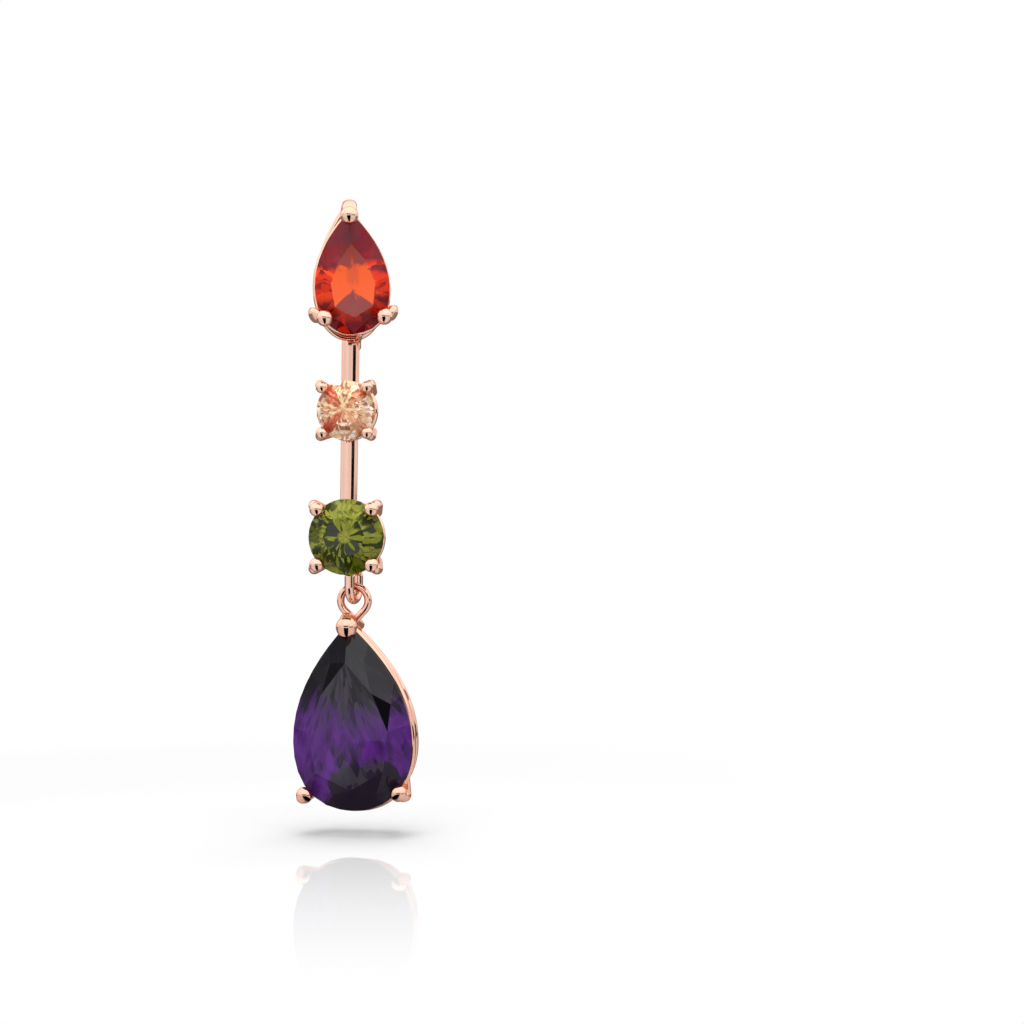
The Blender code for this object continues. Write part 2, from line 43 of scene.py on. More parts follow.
MM = 0.001
STONE_PLANE = -3.25 * MM
TOP_LENGTH = 8.0 * MM
TOP_WIDTH = 4.9 * MM
TOP_WAIST = 2.97 * MM
TOP_PLACE = (0.38 * MM, STONE_PLANE, -2.03 * MM)
TOP_LEAN = math.radians(-2.3)
TOP_TURN = math.radians(8)
TOP_WIRE = 0.23 * MM
TOP_RAIL_DEPTH = 0.55 * MM
TOP_BASE_DEPTH = 2.5 * MM
TOP_BASE_INSET = 0.3 * MM
TOP_BASE_FLARE = 0.62 * MM
TOP_BASE_DROP = 0.5 * MM
FULLNESS = 2.25


def half_pear(length, width, waist, count=400):
    """Right half of a pear outline, tip first, widest at height 0. Above the waist the half
    width is a parabola of the height, below it a slightly full ellipse."""
    up = np.linspace(1, 0, count)
    above = np.column_stack([width / 2 * (1 - up**2), (length - waist) * up])
    turn = np.linspace(0, math.pi / 2, count)[1:]
    side = width / 2 * np.abs(np.cos(turn)) ** (2 / FULLNESS)
    below = np.column_stack([side, -waist * np.sin(turn) ** (2 / FULLNESS)])
    below[-1, 0] = 0
    return np.vstack([above, below])


def outward(half):
    """Outward normals of a half outline: its tangents turned a quarter to the left."""
    along = np.gradient(half, axis=0)
    normal = np.column_stack([-along[:, 1], along[:, 0]])
    normal /= np.linalg.norm(normal, axis=1)[:, None]
    normal[-1] = (0, -1)
    return normal


def run_of(line):
    """Length along a line from its first point to each of its points."""
    steps = np.linalg.norm(np.diff(line, axis=0), axis=1)
    return np.concatenate([[0], np.cumsum(steps)])


def even(line, count):
    """The same line as count + 1 points at equal steps of its length."""
    run = run_of(line)
    at = np.linspace(0, run[-1], count + 1)
    return np.column_stack([np.interp(at, run, line[:, i]) for i in range(line.shape[1])])


def outline_ring(half, offset, depth, drop=0.0, flare=0.0, count=96):
    """A closed line at an offset outside a half outline and its mirror image, tip first. The
    offset gains the flare by the square of the way up, and turns a sharp tip into an arc of its
    own radius. Drop stretches the line below the waist by the square of the way down."""
    normal = outward(half)
    shift = offset + flare * np.clip(half[:, 1] / half[0, 1], 0, 1) ** 2
    moved = half + shift[:, None] * normal
    if shift[0] > 0:
        first = math.atan2(normal[0, 0], normal[0, 1])
        turn = np.linspace(0, first, 12, endpoint=False)
        tip = half[0] + shift[0] * np.column_stack([np.sin(turn), np.cos(turn)])
        moved = np.vstack([tip, moved])
    moved = moved[moved[:, 0] >= 0]
    moved[[0, -1], 0] = 0
    moved[:, 1] -= drop * np.clip(moved[:, 1] / half[-1, 1], 0, None) ** 2
    right = even(moved, count)
    loop = np.vstack([right, right[-2:0:-1] * (-1, 1)])
    return np.column_stack([loop[:, 0], np.full(len(loop), depth), loop[:, 1]])


def sections(path, size, across, sides, flat=1.0, power=2.0):
    """Rings round a path in the plane whose normal is across. A ring is the superellipse of the
    given power. Its half axis in the path's plane is the size, and the other is flat times it."""
    along = np.gradient(path, axis=0)
    along /= np.linalg.norm(along, axis=1)[:, None]
    aside = np.cross(across, along)
    turn = np.arange(sides) * 2 * math.pi / sides
    cosine, sine = np.cos(turn), np.sin(turn)
    wide = np.sign(cosine) * np.abs(cosine) ** (2 / power)
    deep = np.sign(sine) * np.abs(sine) ** (2 / power) * flat
    ring = wide[None, :, None] * aside[:, None, :] + deep[None, :, None] * np.asarray(across)
    return path[:, None, :] + np.broadcast_to(size, len(path))[:, None, None] * ring


def closed_wire(path, radius, across, sides=20):
    """A wire along a closed path. The path gets one more point at each end for its tangents,
    and those two rings are left out again."""
    longer = np.vstack([path[-1:], path, path[:1]])
    return sections(longer, radius, across, sides)[1:-1], True


def open_wire(path, radius, across, steps=24, sides=20, flat=1.0, power=2.0):
    """A wire along an open path with round ends. Within one radius of an end the section
    shrinks as a ball's does: by the root of one minus the square of the share of the radius."""
    path = np.asarray(path, float)
    run = run_of(path)
    radii = np.broadcast_to(radius, len(path))
    share = 1 - np.cos(np.linspace(0.1, math.pi / 2, 8))
    middle = np.linspace(radii[0], run[-1] - radii[-1], steps)[1:-1]
    at = np.concatenate([radii[0] * share, middle, (run[-1] - radii[-1] * share)[::-1]])
    line = np.column_stack([np.interp(at, run, path[:, i]) for i in range(3)])
    near = np.clip(np.minimum(at / radii[0], (run[-1] - at) / radii[-1]), 0, 1)
    size = np.interp(at, run, radii) * np.sqrt(1 - (1 - near) ** 2)
    return sections(line, size, across, sides, flat, power), False


def seated(points, place, lean=0.0, turn=0.0):
    """Points of a part's own frame moved to its place: leaned about Y, then turned about Z."""
    c, s = math.cos(lean), math.sin(lean)
    leaned = np.array([[c, 0, s], [0, 1, 0], [-s, 0, c]])
    c, s = math.cos(turn), math.sin(turn)
    turned_about = np.array([[c, -s, 0], [s, c, 0], [0, 0, 1]])
    return points @ (turned_about @ leaned).T + np.asarray(place)


def in_scene(name, data):
    """A mesh, light or camera, put into the scene as an object."""
    made = bpy.data.objects.new(name, data)
    bpy.context.scene.collection.objects.link(made)
    return made


def metal_piece(name, grids, seat, finish):
    """One mesh of closed surfaces. Each is a grid of rings: the points of a ring join round,
    the rings join in a row, and the two end rings close to their middle points. A surface
    that encloses a negative volume has its faces turned round."""
    points, faces, count = [], [], 0
    for grid, closed in grids:
        rows, sides = grid.shape[:2]
        spot = grid.reshape(-1, 3)
        index = np.arange(rows * sides).reshape(rows, sides)
        low, high = (index, np.roll(index, -1, axis=0)) if closed else (index[:-1], index[1:])
        quads = np.stack([low, np.roll(low, -1, 1), np.roll(high, -1, 1), high], -1).reshape(-1, 4)
        caps = np.zeros((0, 3), int)
        if not closed:
            spot = np.vstack([spot, grid[0].mean(axis=0), grid[-1].mean(axis=0)])
            first, last = np.full(sides, rows * sides), np.full(sides, rows * sides + 1)
            start = np.column_stack([np.roll(index[0], -1), index[0], first])
            stop = np.column_stack([index[-1], np.roll(index[-1], -1), last])
            caps = np.vstack([start, stop])
        corner = np.vstack([quads[:, :3], quads[:, [0, 2, 3]], caps])
        a, b, c = (spot[corner[:, i]] for i in range(3))
        if np.einsum("ij,ij->", a, np.cross(b, c)) < 0:
            quads, caps = quads[:, ::-1], caps[:, ::-1]
        faces += (quads + count).tolist() + (caps + count).tolist()
        points.append(spot)
        count += len(spot)
    mesh = bpy.data.meshes.new(name)
    mesh.from_pydata(seated(np.vstack(points), **seat).tolist(), [], faces)
    mesh.shade_smooth()
    mesh.materials.append(finish)
    return in_scene(name, mesh)


class ShaderTree:
    """A shader node tree with short ways to add and feed its nodes. A value is a socket, a
    number, a vector, or a colour as three shares."""

    def __init__(self, tree):
        self.tree = tree

    def feed(self, node, values):
        """Links or sets the inputs of a node, given by name or number, and returns its outputs."""
        for label, value in values.items():
            socket = node.inputs[label]
            if isinstance(value, bpy.types.NodeSocket):
                self.tree.links.new(value, socket)
            elif socket.type == "RGBA":
                socket.default_value = (*value, 1)
            else:
                socket.default_value = value
        return node.outputs

    def into(self, name, values):
        """Feeds the node of that name that the tree begins with."""
        self.feed(self.tree.nodes[name], values)

    def node(self, kind, values, **settings):
        """The outputs of a new shader node with these settings and values."""
        made = self.tree.nodes.new("ShaderNode" + kind)
        for key, value in settings.items():
            setattr(made, key, value)
        return self.feed(made, values)

    def math(self, operation, *values):
        """One math operation on plain values."""
        return self.node("Math", dict(enumerate(values)), operation=operation)[0]

    def times(self, first, *others):
        """The product of values: of masks, the place where all of them meet."""
        for other in others:
            first = self.math("MULTIPLY", first, other)
        return first

    def blend(self, factor, first, second):
        """A colour between two by a factor."""
        values = {"Factor": factor, "A": first, "B": second}
        return self.node("Mix", values, data_type="RGBA")["Result"]


def shader_group(name, inputs, outputs):
    """A new shader group: its tree, the sockets that it is given, and its result node."""
    group = bpy.data.node_groups.new(name, "ShaderNodeTree")
    for direction, sockets in (("INPUT", inputs), ("OUTPUT", outputs)):
        for label, kind in sockets.items():
            group.interface.new_socket(label, in_out=direction, socket_type="NodeSocket" + kind)
    given = group.nodes.new("NodeGroupInput").outputs
    return ShaderTree(group), given, group.nodes.new("NodeGroupOutput")


def buffed_metal():
    """A shader group for a buffed alloy. Its colour wanders between two tones by a soft noise,
    and fine noise drawn out along the wire gives buffing lines as roughness and height."""
    inputs = {"Tone": "Color", "Deep Tone": "Color", "Polish": "Float"}
    outputs = {"Color": "Color", "Roughness": "Float", "Height": "Float"}
    tree, given, result = shader_group("buffed_metal", inputs, outputs)
    where = tree.node("TexCoord", {})["Object"]
    tone = tree.node("TexNoise", {"Vector": where, "Scale": 900, "Detail": 2})["Fac"]
    drawn = {"Vector": where, "Scale": (9000, 9000, 700), "Rotation": (0.3, 0.5, 0.2)}
    drawn = tree.node("Mapping", drawn)["Vector"]
    lines = tree.node("TexNoise", {"Vector": drawn, "Scale": 1, "Detail": 3})["Fac"]
    spread = {"Value": lines, "From Min": 0.3, "From Max": 0.7, "To Min": 0.6, "To Max": 1.4}
    spread = tree.node("MapRange", spread)["Result"]
    sockets = {
        "Color": tree.blend(tone, given["Tone"], given["Deep Tone"]),
        "Roughness": tree.times(spread, given["Polish"]),
        "Height": lines,
    }
    tree.feed(result, sockets)
    return tree.tree


buffed = buffed_metal()


def new_material(name):
    """A new material and its shader tree."""
    made = bpy.data.materials.new(name)
    made.use_nodes = True
    return made, ShaderTree(made.node_tree)


def alloy(name, tone, deep_tone, polish):
    """A gold alloy of two close tones under the buffed finish, with a faint bump of its lines."""
    made, tree = new_material(name)
    values = {"Tone": tone, "Deep Tone": deep_tone, "Polish": polish}
    finish = tree.node("Group", values, node_tree=buffed)
    bump = {"Height": finish["Height"], "Strength": 0.02, "Distance": 0.05 * MM}
    sockets = {
        "Metallic": 1.0,
        "Specular Tint": (0.9, 0.6, 0.48),
        "Base Color": finish["Color"],
        "Roughness": finish["Roughness"],
        "Normal": tree.node("Bump", bump)["Normal"],
    }
    tree.into("Principled BSDF", sockets)
    return made


rose_gold = alloy("rose_gold", (0.90, 0.58, 0.46), (0.86, 0.52, 0.40), polish=0.08)

top_half = half_pear(TOP_LENGTH, TOP_WIDTH, TOP_WAIST)
top_seat = {"place": TOP_PLACE, "lean": TOP_LEAN, "turn": TOP_TURN}
INTO_PAGE = (0, 1, 0)
front_rail = outline_ring(top_half, -TOP_WIRE / 2, TOP_RAIL_DEPTH)
back_bends = {"drop": TOP_BASE_DROP, "flare": TOP_BASE_FLARE}
back_rail = outline_ring(top_half, -TOP_BASE_INSET, TOP_BASE_DEPTH, **back_bends)
rails = [closed_wire(line, TOP_WIRE, INTO_PAGE) for line in (front_rail, back_rail)]
top_rails = metal_piece("top_rails", rails, top_seat, rose_gold)
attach(top_rails, "upper")
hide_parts("upper_frame")

# The top claws: three prongs of thicker wire, soldered to both rails, bent over the girdle
# and finished with a round bead that holds the stone. The one at the tip is the broadest.

TOP_CLAW = 0.34 * MM
TOP_CLAW_SPREAD = 1.6
TOP_BEAD = 0.55 * MM
TOP_BEAD_INSET = 0.05 * MM
TOP_BEAD_SLIP = 0.50 * MM
TOP_CLAW_SHARE = 0.725
TOP_TIP_CLAW = 0.32 * MM
TOP_TIP_SPREAD = 1.5
TOP_TIP_BEAD = 0.60 * MM
TOP_TIP_INSET = 0.43 * MM
TOP_TIP_SLIP = -0.10 * MM
TOP_CROWN = 0.75 * MM
TOP_TABLE = 0.60
CLAW_GAP = 0.1 * MM
GIRDLE = 0.12 * MM
BEAD_POLE = 0.06


def outline_spot(half, share, side):
    """Point, outward normal and downward tangent at a share of a half outline's length."""
    run = run_of(half) / run_of(half)[-1]
    x, z = (np.interp(share, run, half[:, i]) for i in range(2))
    normal = np.array([np.interp(share, run, outward(half)[:, i]) for i in range(2)])
    normal = normal / np.linalg.norm(normal) if share else np.array([0.0, 1.0])
    tangent = np.array([normal[1], -normal[0]])
    flip = np.array([side, 1])
    return np.array([x, z]) * flip, normal * flip, tangent * flip


def bead(centre, radius, drawn=0.0, sides=28):
    """A ball as rings of latitude about the depth axis. Its lower side is drawn down by that
    share of the radius times the cube of the way down."""
    height = np.linspace(BEAD_POLE, math.pi - BEAD_POLE, sides // 2 + 1)
    turn = np.arange(sides) * 2 * math.pi / sides
    x = np.sin(height)[:, None] * np.cos(turn)
    y = -np.cos(height)[:, None] + 0 * turn
    z = np.sin(height)[:, None] * np.sin(turn)
    z = z - drawn * np.clip(-z, 0, 1) ** 3
    return np.asarray(centre) + np.stack([x, y, z], axis=-1) * radius, False


def claw(spot, leg, ball, inset, slope, base, rear, slip=0.0, spread=1.0, drawn=0.0):
    """A claw at a spot of the outline: a straight leg from the base rail past the girdle, then
    a parabola over the crown to the bead, which clears a crown of that slope. Spread is how
    many times broader the leg is along the outline."""
    point, normal, tangent = spot
    shoulder = CLAW_GAP + leg
    foot = base + leg
    rear_out = shoulder + (rear - shoulder) * foot / base
    front = GIRDLE / 2 + slope * inset + (ball + CLAW_GAP) * math.hypot(1, slope)
    t = np.linspace(0, 1, 25)[:, None]
    bend = (1 - t) ** 2 * np.array([shoulder, 0, 0])
    bend = bend + 2 * t * (1 - t) * np.array([shoulder, 0, -front])
    bend = bend + t**2 * np.array([-inset, slip, -front])
    line = np.vstack([[rear_out, 0, foot], bend])
    flat = point + line[:, :1] * normal + line[:, 1:2] * tangent
    path = np.column_stack([flat[:, 0], line[:, 2], flat[:, 1]])
    prong = open_wire(path, leg, (tangent[0], 0, tangent[1]), steps=36, flat=spread)
    return [prong, bead(path[-1], ball, drawn)]


top_sizes = {
    "slope": TOP_CROWN / ((1 - TOP_TABLE) * TOP_WIDTH / 2),
    "base": TOP_BASE_DEPTH,
    "rear": -0.4 * TOP_CLAW,
}
tip_sizes = {
    "leg": TOP_TIP_CLAW,
    "ball": TOP_TIP_BEAD,
    "inset": TOP_TIP_INSET,
    "slip": TOP_TIP_SLIP,
    "spread": TOP_TIP_SPREAD,
    **top_sizes,
}
low_sizes = {
    "leg": TOP_CLAW,
    "ball": TOP_BEAD,
    "inset": TOP_BEAD_INSET,
    "slip": TOP_BEAD_SLIP,
    "spread": TOP_CLAW_SPREAD,
    **top_sizes,
}
top_claws = {
    "top_tip_claw": claw(outline_spot(top_half, 0, 1), **tip_sizes),
    "top_left_claw": claw(outline_spot(top_half, TOP_CLAW_SHARE, -1), **low_sizes),
    "top_right_claw": claw(outline_spot(top_half, TOP_CLAW_SHARE, 1), **low_sizes),
}
for name, grids in top_claws.items():
    prong = metal_piece(name, grids, top_seat, rose_gold)
    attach(prong, "upper")
    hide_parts("upper_frame")

# The top bridge and stay: a flat bar across the back rail that the ear post is soldered to,
# and a wire that runs from the front rail's bottom, round the back rail, into the long bar.

POST_ABOVE_WAIST = 2.03 * MM
BRIDGE_HEIGHT = 1.6 * MM
BRIDGE_THICKNESS = 0.5 * MM
BAR_DEPTH = 2.9 * MM
BAR_TOP_RADIUS = 0.605 * MM
STAY_WIRE = 0.22 * MM
STAY_BELOW_RAIL = 0.1 * MM
STAY_SIDE = 0.42 * MM
STAY_BEND = 0.75

reach = np.interp(-POST_ABOVE_WAIST, -top_half[:, 1], top_half[:, 0]) - TOP_BASE_INSET
reach += TOP_BASE_FLARE * (POST_ABOVE_WAIST / (TOP_LENGTH - TOP_WAIST)) ** 2
bridge = open_wire(
    [(-reach, TOP_BASE_DEPTH, POST_ABOVE_WAIST), (reach, TOP_BASE_DEPTH, POST_ABOVE_WAIST)],
    BRIDGE_THICKNESS / 2,
    (0, 0, 1),
    sides=40,
    flat=BRIDGE_HEIGHT / BRIDGE_THICKNESS,
    power=5,
)
foot = TOP_BASE_INSET - TOP_WAIST - TOP_BASE_DROP - STAY_BELOW_RAIL
start = TOP_WIRE / 4 - TOP_WAIST
stay_path = [
    (STAY_SIDE, TOP_RAIL_DEPTH, start),
    (STAY_SIDE, (TOP_RAIL_DEPTH + TOP_BASE_DEPTH) / 2, start + STAY_BEND * (foot - start)),
    (STAY_SIDE, TOP_BASE_DEPTH, foot),
    (STAY_SIDE, BAR_DEPTH, foot - BAR_TOP_RADIUS),
]
for name, grid in (
    ("top_bridge", bridge),
    ("top_stay", open_wire(stay_path, STAY_WIRE, (1, 0, 0))),
):
    brace = metal_piece(name, [grid], top_seat, rose_gold)
    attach(brace, "upper")
    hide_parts("upper_frame")

# The ear post: a turned pin on a round pad, soldered to the bridge, with a shallow notch
# near its rounded end that the ear nut clips into.

PAD_RADIUS = 1.1 * MM
PAD_THICKNESS = 0.4 * MM
POST_RADIUS = 0.425 * MM
POST_LENGTH = 10.5 * MM
NOTCH_FROM_END = 2.2 * MM
NOTCH_DEPTH = 0.1 * MM
PAD_EDGE = 0.08 * MM
PAD_MIDDLE = 0.02 * MM


def turned(profile, sides=48):
    """A turned piece: each point of the profile, depth and radius, is carried round the depth
    axis."""
    depth, radius = np.asarray(profile).T
    turn = np.arange(sides) * 2 * math.pi / sides
    x = radius[:, None] * np.cos(turn)
    z = radius[:, None] * np.sin(turn)
    return np.stack([x, depth[:, None] + 0 * turn, z], axis=-1), False


def rounding(depth, radius, size, front, count=6):
    """A quarter circle of a profile about a centre, at the piece's front or back edge."""
    turn = np.linspace(0, math.pi / 2, count)
    arc = np.column_stack([-np.cos(turn), np.sin(turn)] if front else [np.sin(turn), np.cos(turn)])
    return (depth, radius) + size * arc


notch = POST_LENGTH - NOTCH_FROM_END
post_profile = np.vstack(
    [
        [(-PAD_THICKNESS, PAD_MIDDLE)],
        rounding(-PAD_THICKNESS + PAD_EDGE, PAD_RADIUS - PAD_EDGE, PAD_EDGE, front=True),
        rounding(-PAD_EDGE, PAD_RADIUS - PAD_EDGE, PAD_EDGE, front=False),
        [(0, POST_RADIUS + PAD_EDGE), (PAD_EDGE, POST_RADIUS)],
        [(notch, POST_RADIUS), (notch + NOTCH_DEPTH, POST_RADIUS - NOTCH_DEPTH)],
        [(notch + 5 * NOTCH_DEPTH, POST_RADIUS - NOTCH_DEPTH)],
        [(notch + 6 * NOTCH_DEPTH, POST_RADIUS)],
        rounding(POST_LENGTH - POST_RADIUS, 0, POST_RADIUS, front=False, count=14)[:-1],
    ]
)
post_gold = alloy("post_gold", (0.88, 0.60, 0.48), (0.84, 0.55, 0.43), polish=0.14)
post = metal_piece("ear_post_pin", [turned(post_profile)], {"place": (0, 0, 0)}, post_gold)
post.data.set_sharp_from_angle(angle=math.radians(35))
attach(post, "upper")
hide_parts("ear_post")

# The orange stone: a pear brilliant of clear orange-red zirconia. Its crown has eight star,
# eight main and many girdle facets round the table, and the pavilion rows of small ones.

TOP_PAVILION = 1.9 * MM
PEAR_ROWS = ((0.74, 0.36), (0.5, 0.62), (0.24, 0.84))
STAR_REACH = 0.99
STAR_DEPTH = 0.46
BACK_GLOSS = 0.2


def facet_row(upper, lower, shift):
    """Triangles between two rings of sixteen points, the lower one turned by half a step. Its
    point k lies between the upper points k + shift - 1 and k + shift."""
    k = np.arange(16)
    before, after = upper + (k + shift - 1) % 16, upper + (k + shift) % 16
    first = np.column_stack([before, after, lower + k])
    return [first, np.column_stack([after, lower + (k + 1) % 16, lower + k])]


def stone_points(half, heights, table, table_drop, rows):
    """The points of a brilliant on any outline. Each ring of them is the outline times a
    share, at a depth: eight table and eight star points, thirty-two at each edge of the
    girdle, sixteen in each row of the pavilion, and the culet. The table is first moved down
    by its drop."""
    crown, pavilion = heights
    fine = even(half, 16)
    loop = np.vstack([fine, fine[-2:0:-1] * (-1, 1)])
    rings = [
        (loop[::4] - (0, table_drop), table, -crown - GIRDLE / 2),
        (loop[2::4], STAR_REACH * (1 + table) / 2, -STAR_DEPTH * crown - GIRDLE / 2),
        (loop, 1, -GIRDLE / 2),
        (loop, 1, GIRDLE / 2),
    ]
    for order, (share, depth) in enumerate(rows):
        rings.append((loop[(order + 1) % 2 :: 2], share, pavilion * depth + GIRDLE / 2))
    rings.append((np.zeros((1, 2)), 1, pavilion + GIRDLE / 2))
    flat = np.vstack([ring * share for ring, share, depth in rings])
    depths = np.concatenate([np.full(len(ring), depth) for ring, share, depth in rings])
    return np.column_stack([flat[:, 0], depths, flat[:, 1]])


def stone_facets(points, rows):
    """The triangles between a brilliant's rings and their outward normals. A triangle whose
    normal points to the stone's middle is turned round, with its normal."""
    top, star, front, back, row = 0, 8, 16, 48, 80
    last = row + 16 * (rows - 1)
    i, k, g = np.arange(8), np.arange(16), np.arange(32)
    j, l, h = (i + 1) % 8, (k + 1) % 16, (g + 1) % 32
    tris = [
        np.column_stack([top + i, star + i, front + 4 * i]),
        np.column_stack([top + i, top + j, star + i]),
        np.column_stack([top + j, front + 4 * j, star + i]),
        np.column_stack([star + g // 4, front + h, front + g]),
        np.column_stack([front + g, front + h, back + h]),
        np.column_stack([front + g, back + h, back + g]),
        np.column_stack([back + g, back + h, row + g // 2]),
        np.column_stack([row + k, back + 2 * l, row + l]),
    ]
    for order in range(1, rows):
        tris += facet_row(row + 16 * (order - 1), row + 16 * order, (order + 1) % 2)
    tris.append(np.column_stack([last + k, last + l, np.full(16, len(points) - 1)]))
    faces = np.vstack(tris)
    a, b, c = (points[faces[:, n]] for n in range(3))
    slopes = np.cross(b - a, c - a)
    inward = np.einsum("ij,ij->i", a, slopes) < 0
    faces[inward] = faces[inward, ::-1]
    slopes[inward] *= -1
    return faces, slopes / np.linalg.norm(slopes, axis=1)[:, None]


def faceted_stone(
    name, half, heights, table, rows, seat, finish, table_gloss, gloss, table_drop=0.0
):
    """A brilliant of flat triangles and its table. Attributes hold each point's place in half
    widths, each facet's slope, and its gloss: that of the table, and for each eighth of the
    crown those of the main facet after the table's corner, the star facet, and the main
    facet before the next corner."""
    points = stone_points(half, heights, table, table_drop, rows)
    faces, slopes = stone_facets(points, len(rows))
    slopes = np.vstack([slopes, [0, -1, 0]])
    shine = np.full(len(slopes), BACK_GLOSS)
    shine[-1] = table_gloss
    shine[:24] = np.transpose(gloss).ravel()
    shine[24:56] = np.repeat(np.asarray(gloss)[:, [0, 2]].ravel(), 2)
    mesh = bpy.data.meshes.new(name)
    table_face = [list(range(7, -1, -1))]
    mesh.from_pydata(seated(points, **seat).tolist(), [], faces.tolist() + table_face)
    for label, kind, domain, field, values in (
        ("cut_place", "FLOAT_VECTOR", "POINT", "vector", points / half[:, 0].max()),
        ("cut_slope", "FLOAT_VECTOR", "FACE", "vector", slopes),
        ("cut_gloss", "FLOAT", "FACE", "value", shine),
    ):
        mesh.attributes.new(label, kind, domain).data.foreach_set(field, values.ravel())
    mesh.materials.append(finish)
    return in_scene(name, mesh)


def vector(tree, operation, *values):
    """One math operation on vectors."""
    return tree.node("VectorMath", dict(enumerate(values)), operation=operation)[0]


def step(tree, value, low, high):
    """A smooth step, from 0 at low to 1 at high, which may be the smaller of the two."""
    values = {"Value": value, "From Min": low, "From Max": high}
    return tree.node("MapRange", values, interpolation_type="SMOOTHSTEP")[0]


def inner_fire():
    """A shader group for the painted light and shade that shows inside a cut stone, where its far
    facets mirror the light. Each facet moves the place that is seen through it against its own
    slope. Cells of two sizes, laid out round a middle, stand for the far facets: each has a
    random tone, Edge is 1 on lines between the large ones, and Haze is a soft noise over them."""
    inputs = {"Middle": "Vector", "Shift": "Float", "Around": "Float", "Along": "Float"}
    labels = ("Across", "Up", "Radius", "Tone", "Fine", "Haze", "Edge", "Table", "Gloss")
    tree, given, result = shader_group("inner_fire", inputs, dict.fromkeys(labels, "Float"))
    place = tree.node("Attribute", {}, attribute_name="cut_place")["Vector"]
    slope = tree.node("Attribute", {}, attribute_name="cut_slope")["Vector"]
    gloss = tree.node("Attribute", {}, attribute_name="cut_gloss")["Fac"]
    scaled = {"operation": "SCALE"}
    shift = tree.node("VectorMath", {0: slope, "Scale": given["Shift"]}, **scaled)[0]
    flat = vector(tree, "MULTIPLY", vector(tree, "SUBTRACT", place, shift), (1, 0, 1))
    spot = tree.node("SeparateXYZ", {0: flat})
    spread = vector(tree, "SUBTRACT", flat, given["Middle"])
    radius = tree.node("VectorMath", {0: spread}, operation="LENGTH")["Value"]
    ray = vector(tree, "NORMALIZE", spread)
    around = tree.node("VectorMath", {0: ray, "Scale": given["Around"]}, **scaled)[0]
    along = tree.node("CombineXYZ", {"Y": tree.times(radius, given["Along"])})[0]
    laid = vector(tree, "ADD", around, along)
    tones = []
    for scale in (1.0, 2.4):
        cells = tree.node("TexVoronoi", {"Vector": laid, "Scale": scale})["Color"]
        tones.append(tree.node("SeparateColor", {0: cells})[0])
    haze = {"Vector": laid, "Scale": 1.6, "Detail": 4, "Distortion": 0.6}
    between = tree.node("TexVoronoi", {"Vector": laid, "Scale": 1.0}, feature="DISTANCE_TO_EDGE")
    facing = tree.node("SeparateXYZ", {0: slope})["Y"]
    sockets = {
        "Across": spot["X"],
        "Up": spot["Z"],
        "Radius": radius,
        "Tone": tones[0],
        "Fine": tones[1],
        "Haze": step(tree, tree.node("TexNoise", haze)["Fac"], 0.3, 0.7),
        "Edge": step(tree, between["Distance"], 0.07, 0.02),
        "Table": step(tree, facing, -0.98, -0.995),
        "Gloss": gloss,
    }
    tree.feed(result, sockets)
    return tree.tree


stone_fire = inner_fire()


def gem(name, clear, refraction, shift, around, along, middle=(0, 0, 0)):
    """A cut stone, a share of it clear glass. Polish is a coat as strong as the facet's gloss.
    Returns the material, its tree, and the outputs of its inner fire by name."""
    made, tree = new_material(name)
    values = {"Middle": middle, "Shift": shift, "Around": around, "Along": along}
    fire = tree.node("Group", values, node_tree=stone_fire)
    sockets = {
        "Transmission Weight": clear,
        "Roughness": 0.02,
        "IOR": refraction,
        "Specular IOR Level": 0.0,
        "Coat IOR": 1.7,
        "Coat Roughness": 0.01,
        "Coat Weight": fire["Gloss"],
    }
    tree.into("Principled BSDF", sockets)
    return made, tree, fire


def outside(tree, mask):
    """Where a mask isn't: one minus it."""
    return tree.math("SUBTRACT", 1.0, mask)


def size_of(tree, value):
    """A value without its sign."""
    return tree.math("ABSOLUTE", value)


def band(tree, value, low, risen, full, fallen):
    """A smooth band: a step up from low to risen times a step down from full to fallen."""
    return tree.times(step(tree, value, low, risen), step(tree, value, fallen, full))


def moved(tree, place, tone, share):
    """A place moved by up to half a share either way by the tone of its cell, so that a zone's
    edge breaks along the cells."""
    return tree.math("MULTIPLY_ADD", tone, share, tree.math("SUBTRACT", place, share / 2))


def layers(tree, colour, *coats):
    """A colour under coats. Each is a mask and the colour that it lays over the last."""
    for mask, coat in coats:
        colour = tree.blend(mask, colour, coat)
    return colour


MAROON = (0.14, 0.010, 0.020)
HAZY_LIGHT_RED = (0.33, 0.014, 0.012)
DEEP_RED = (0.66, 0.026, 0.004)
LOWER_RED = (0.17, 0.004, 0.009)
DUSK_RED = (0.17, 0.006, 0.008)
FLAME = (0.93, 0.070, 0.006)
EMBER_RED = (0.60, 0.016, 0.004)
TABLE_BROWN = (0.32, 0.060, 0.050)
TABLE_ORANGE = (0.93, 0.12, 0.025)
STRIP_RED = (0.55, 0.08, 0.04)
WEDGE_BROWN = (0.28, 0.052, 0.048)
WEDGE_EMBER = (0.46, 0.07, 0.05)
SPEAR_RED = (0.70, 0.09, 0.03)
ORANGE_GLOSS = [(0.06, 0.06, 0.05)] + 6 * [(0.05, 0.1, 0.05)] + [(0.06, 0.1, 0.1)]

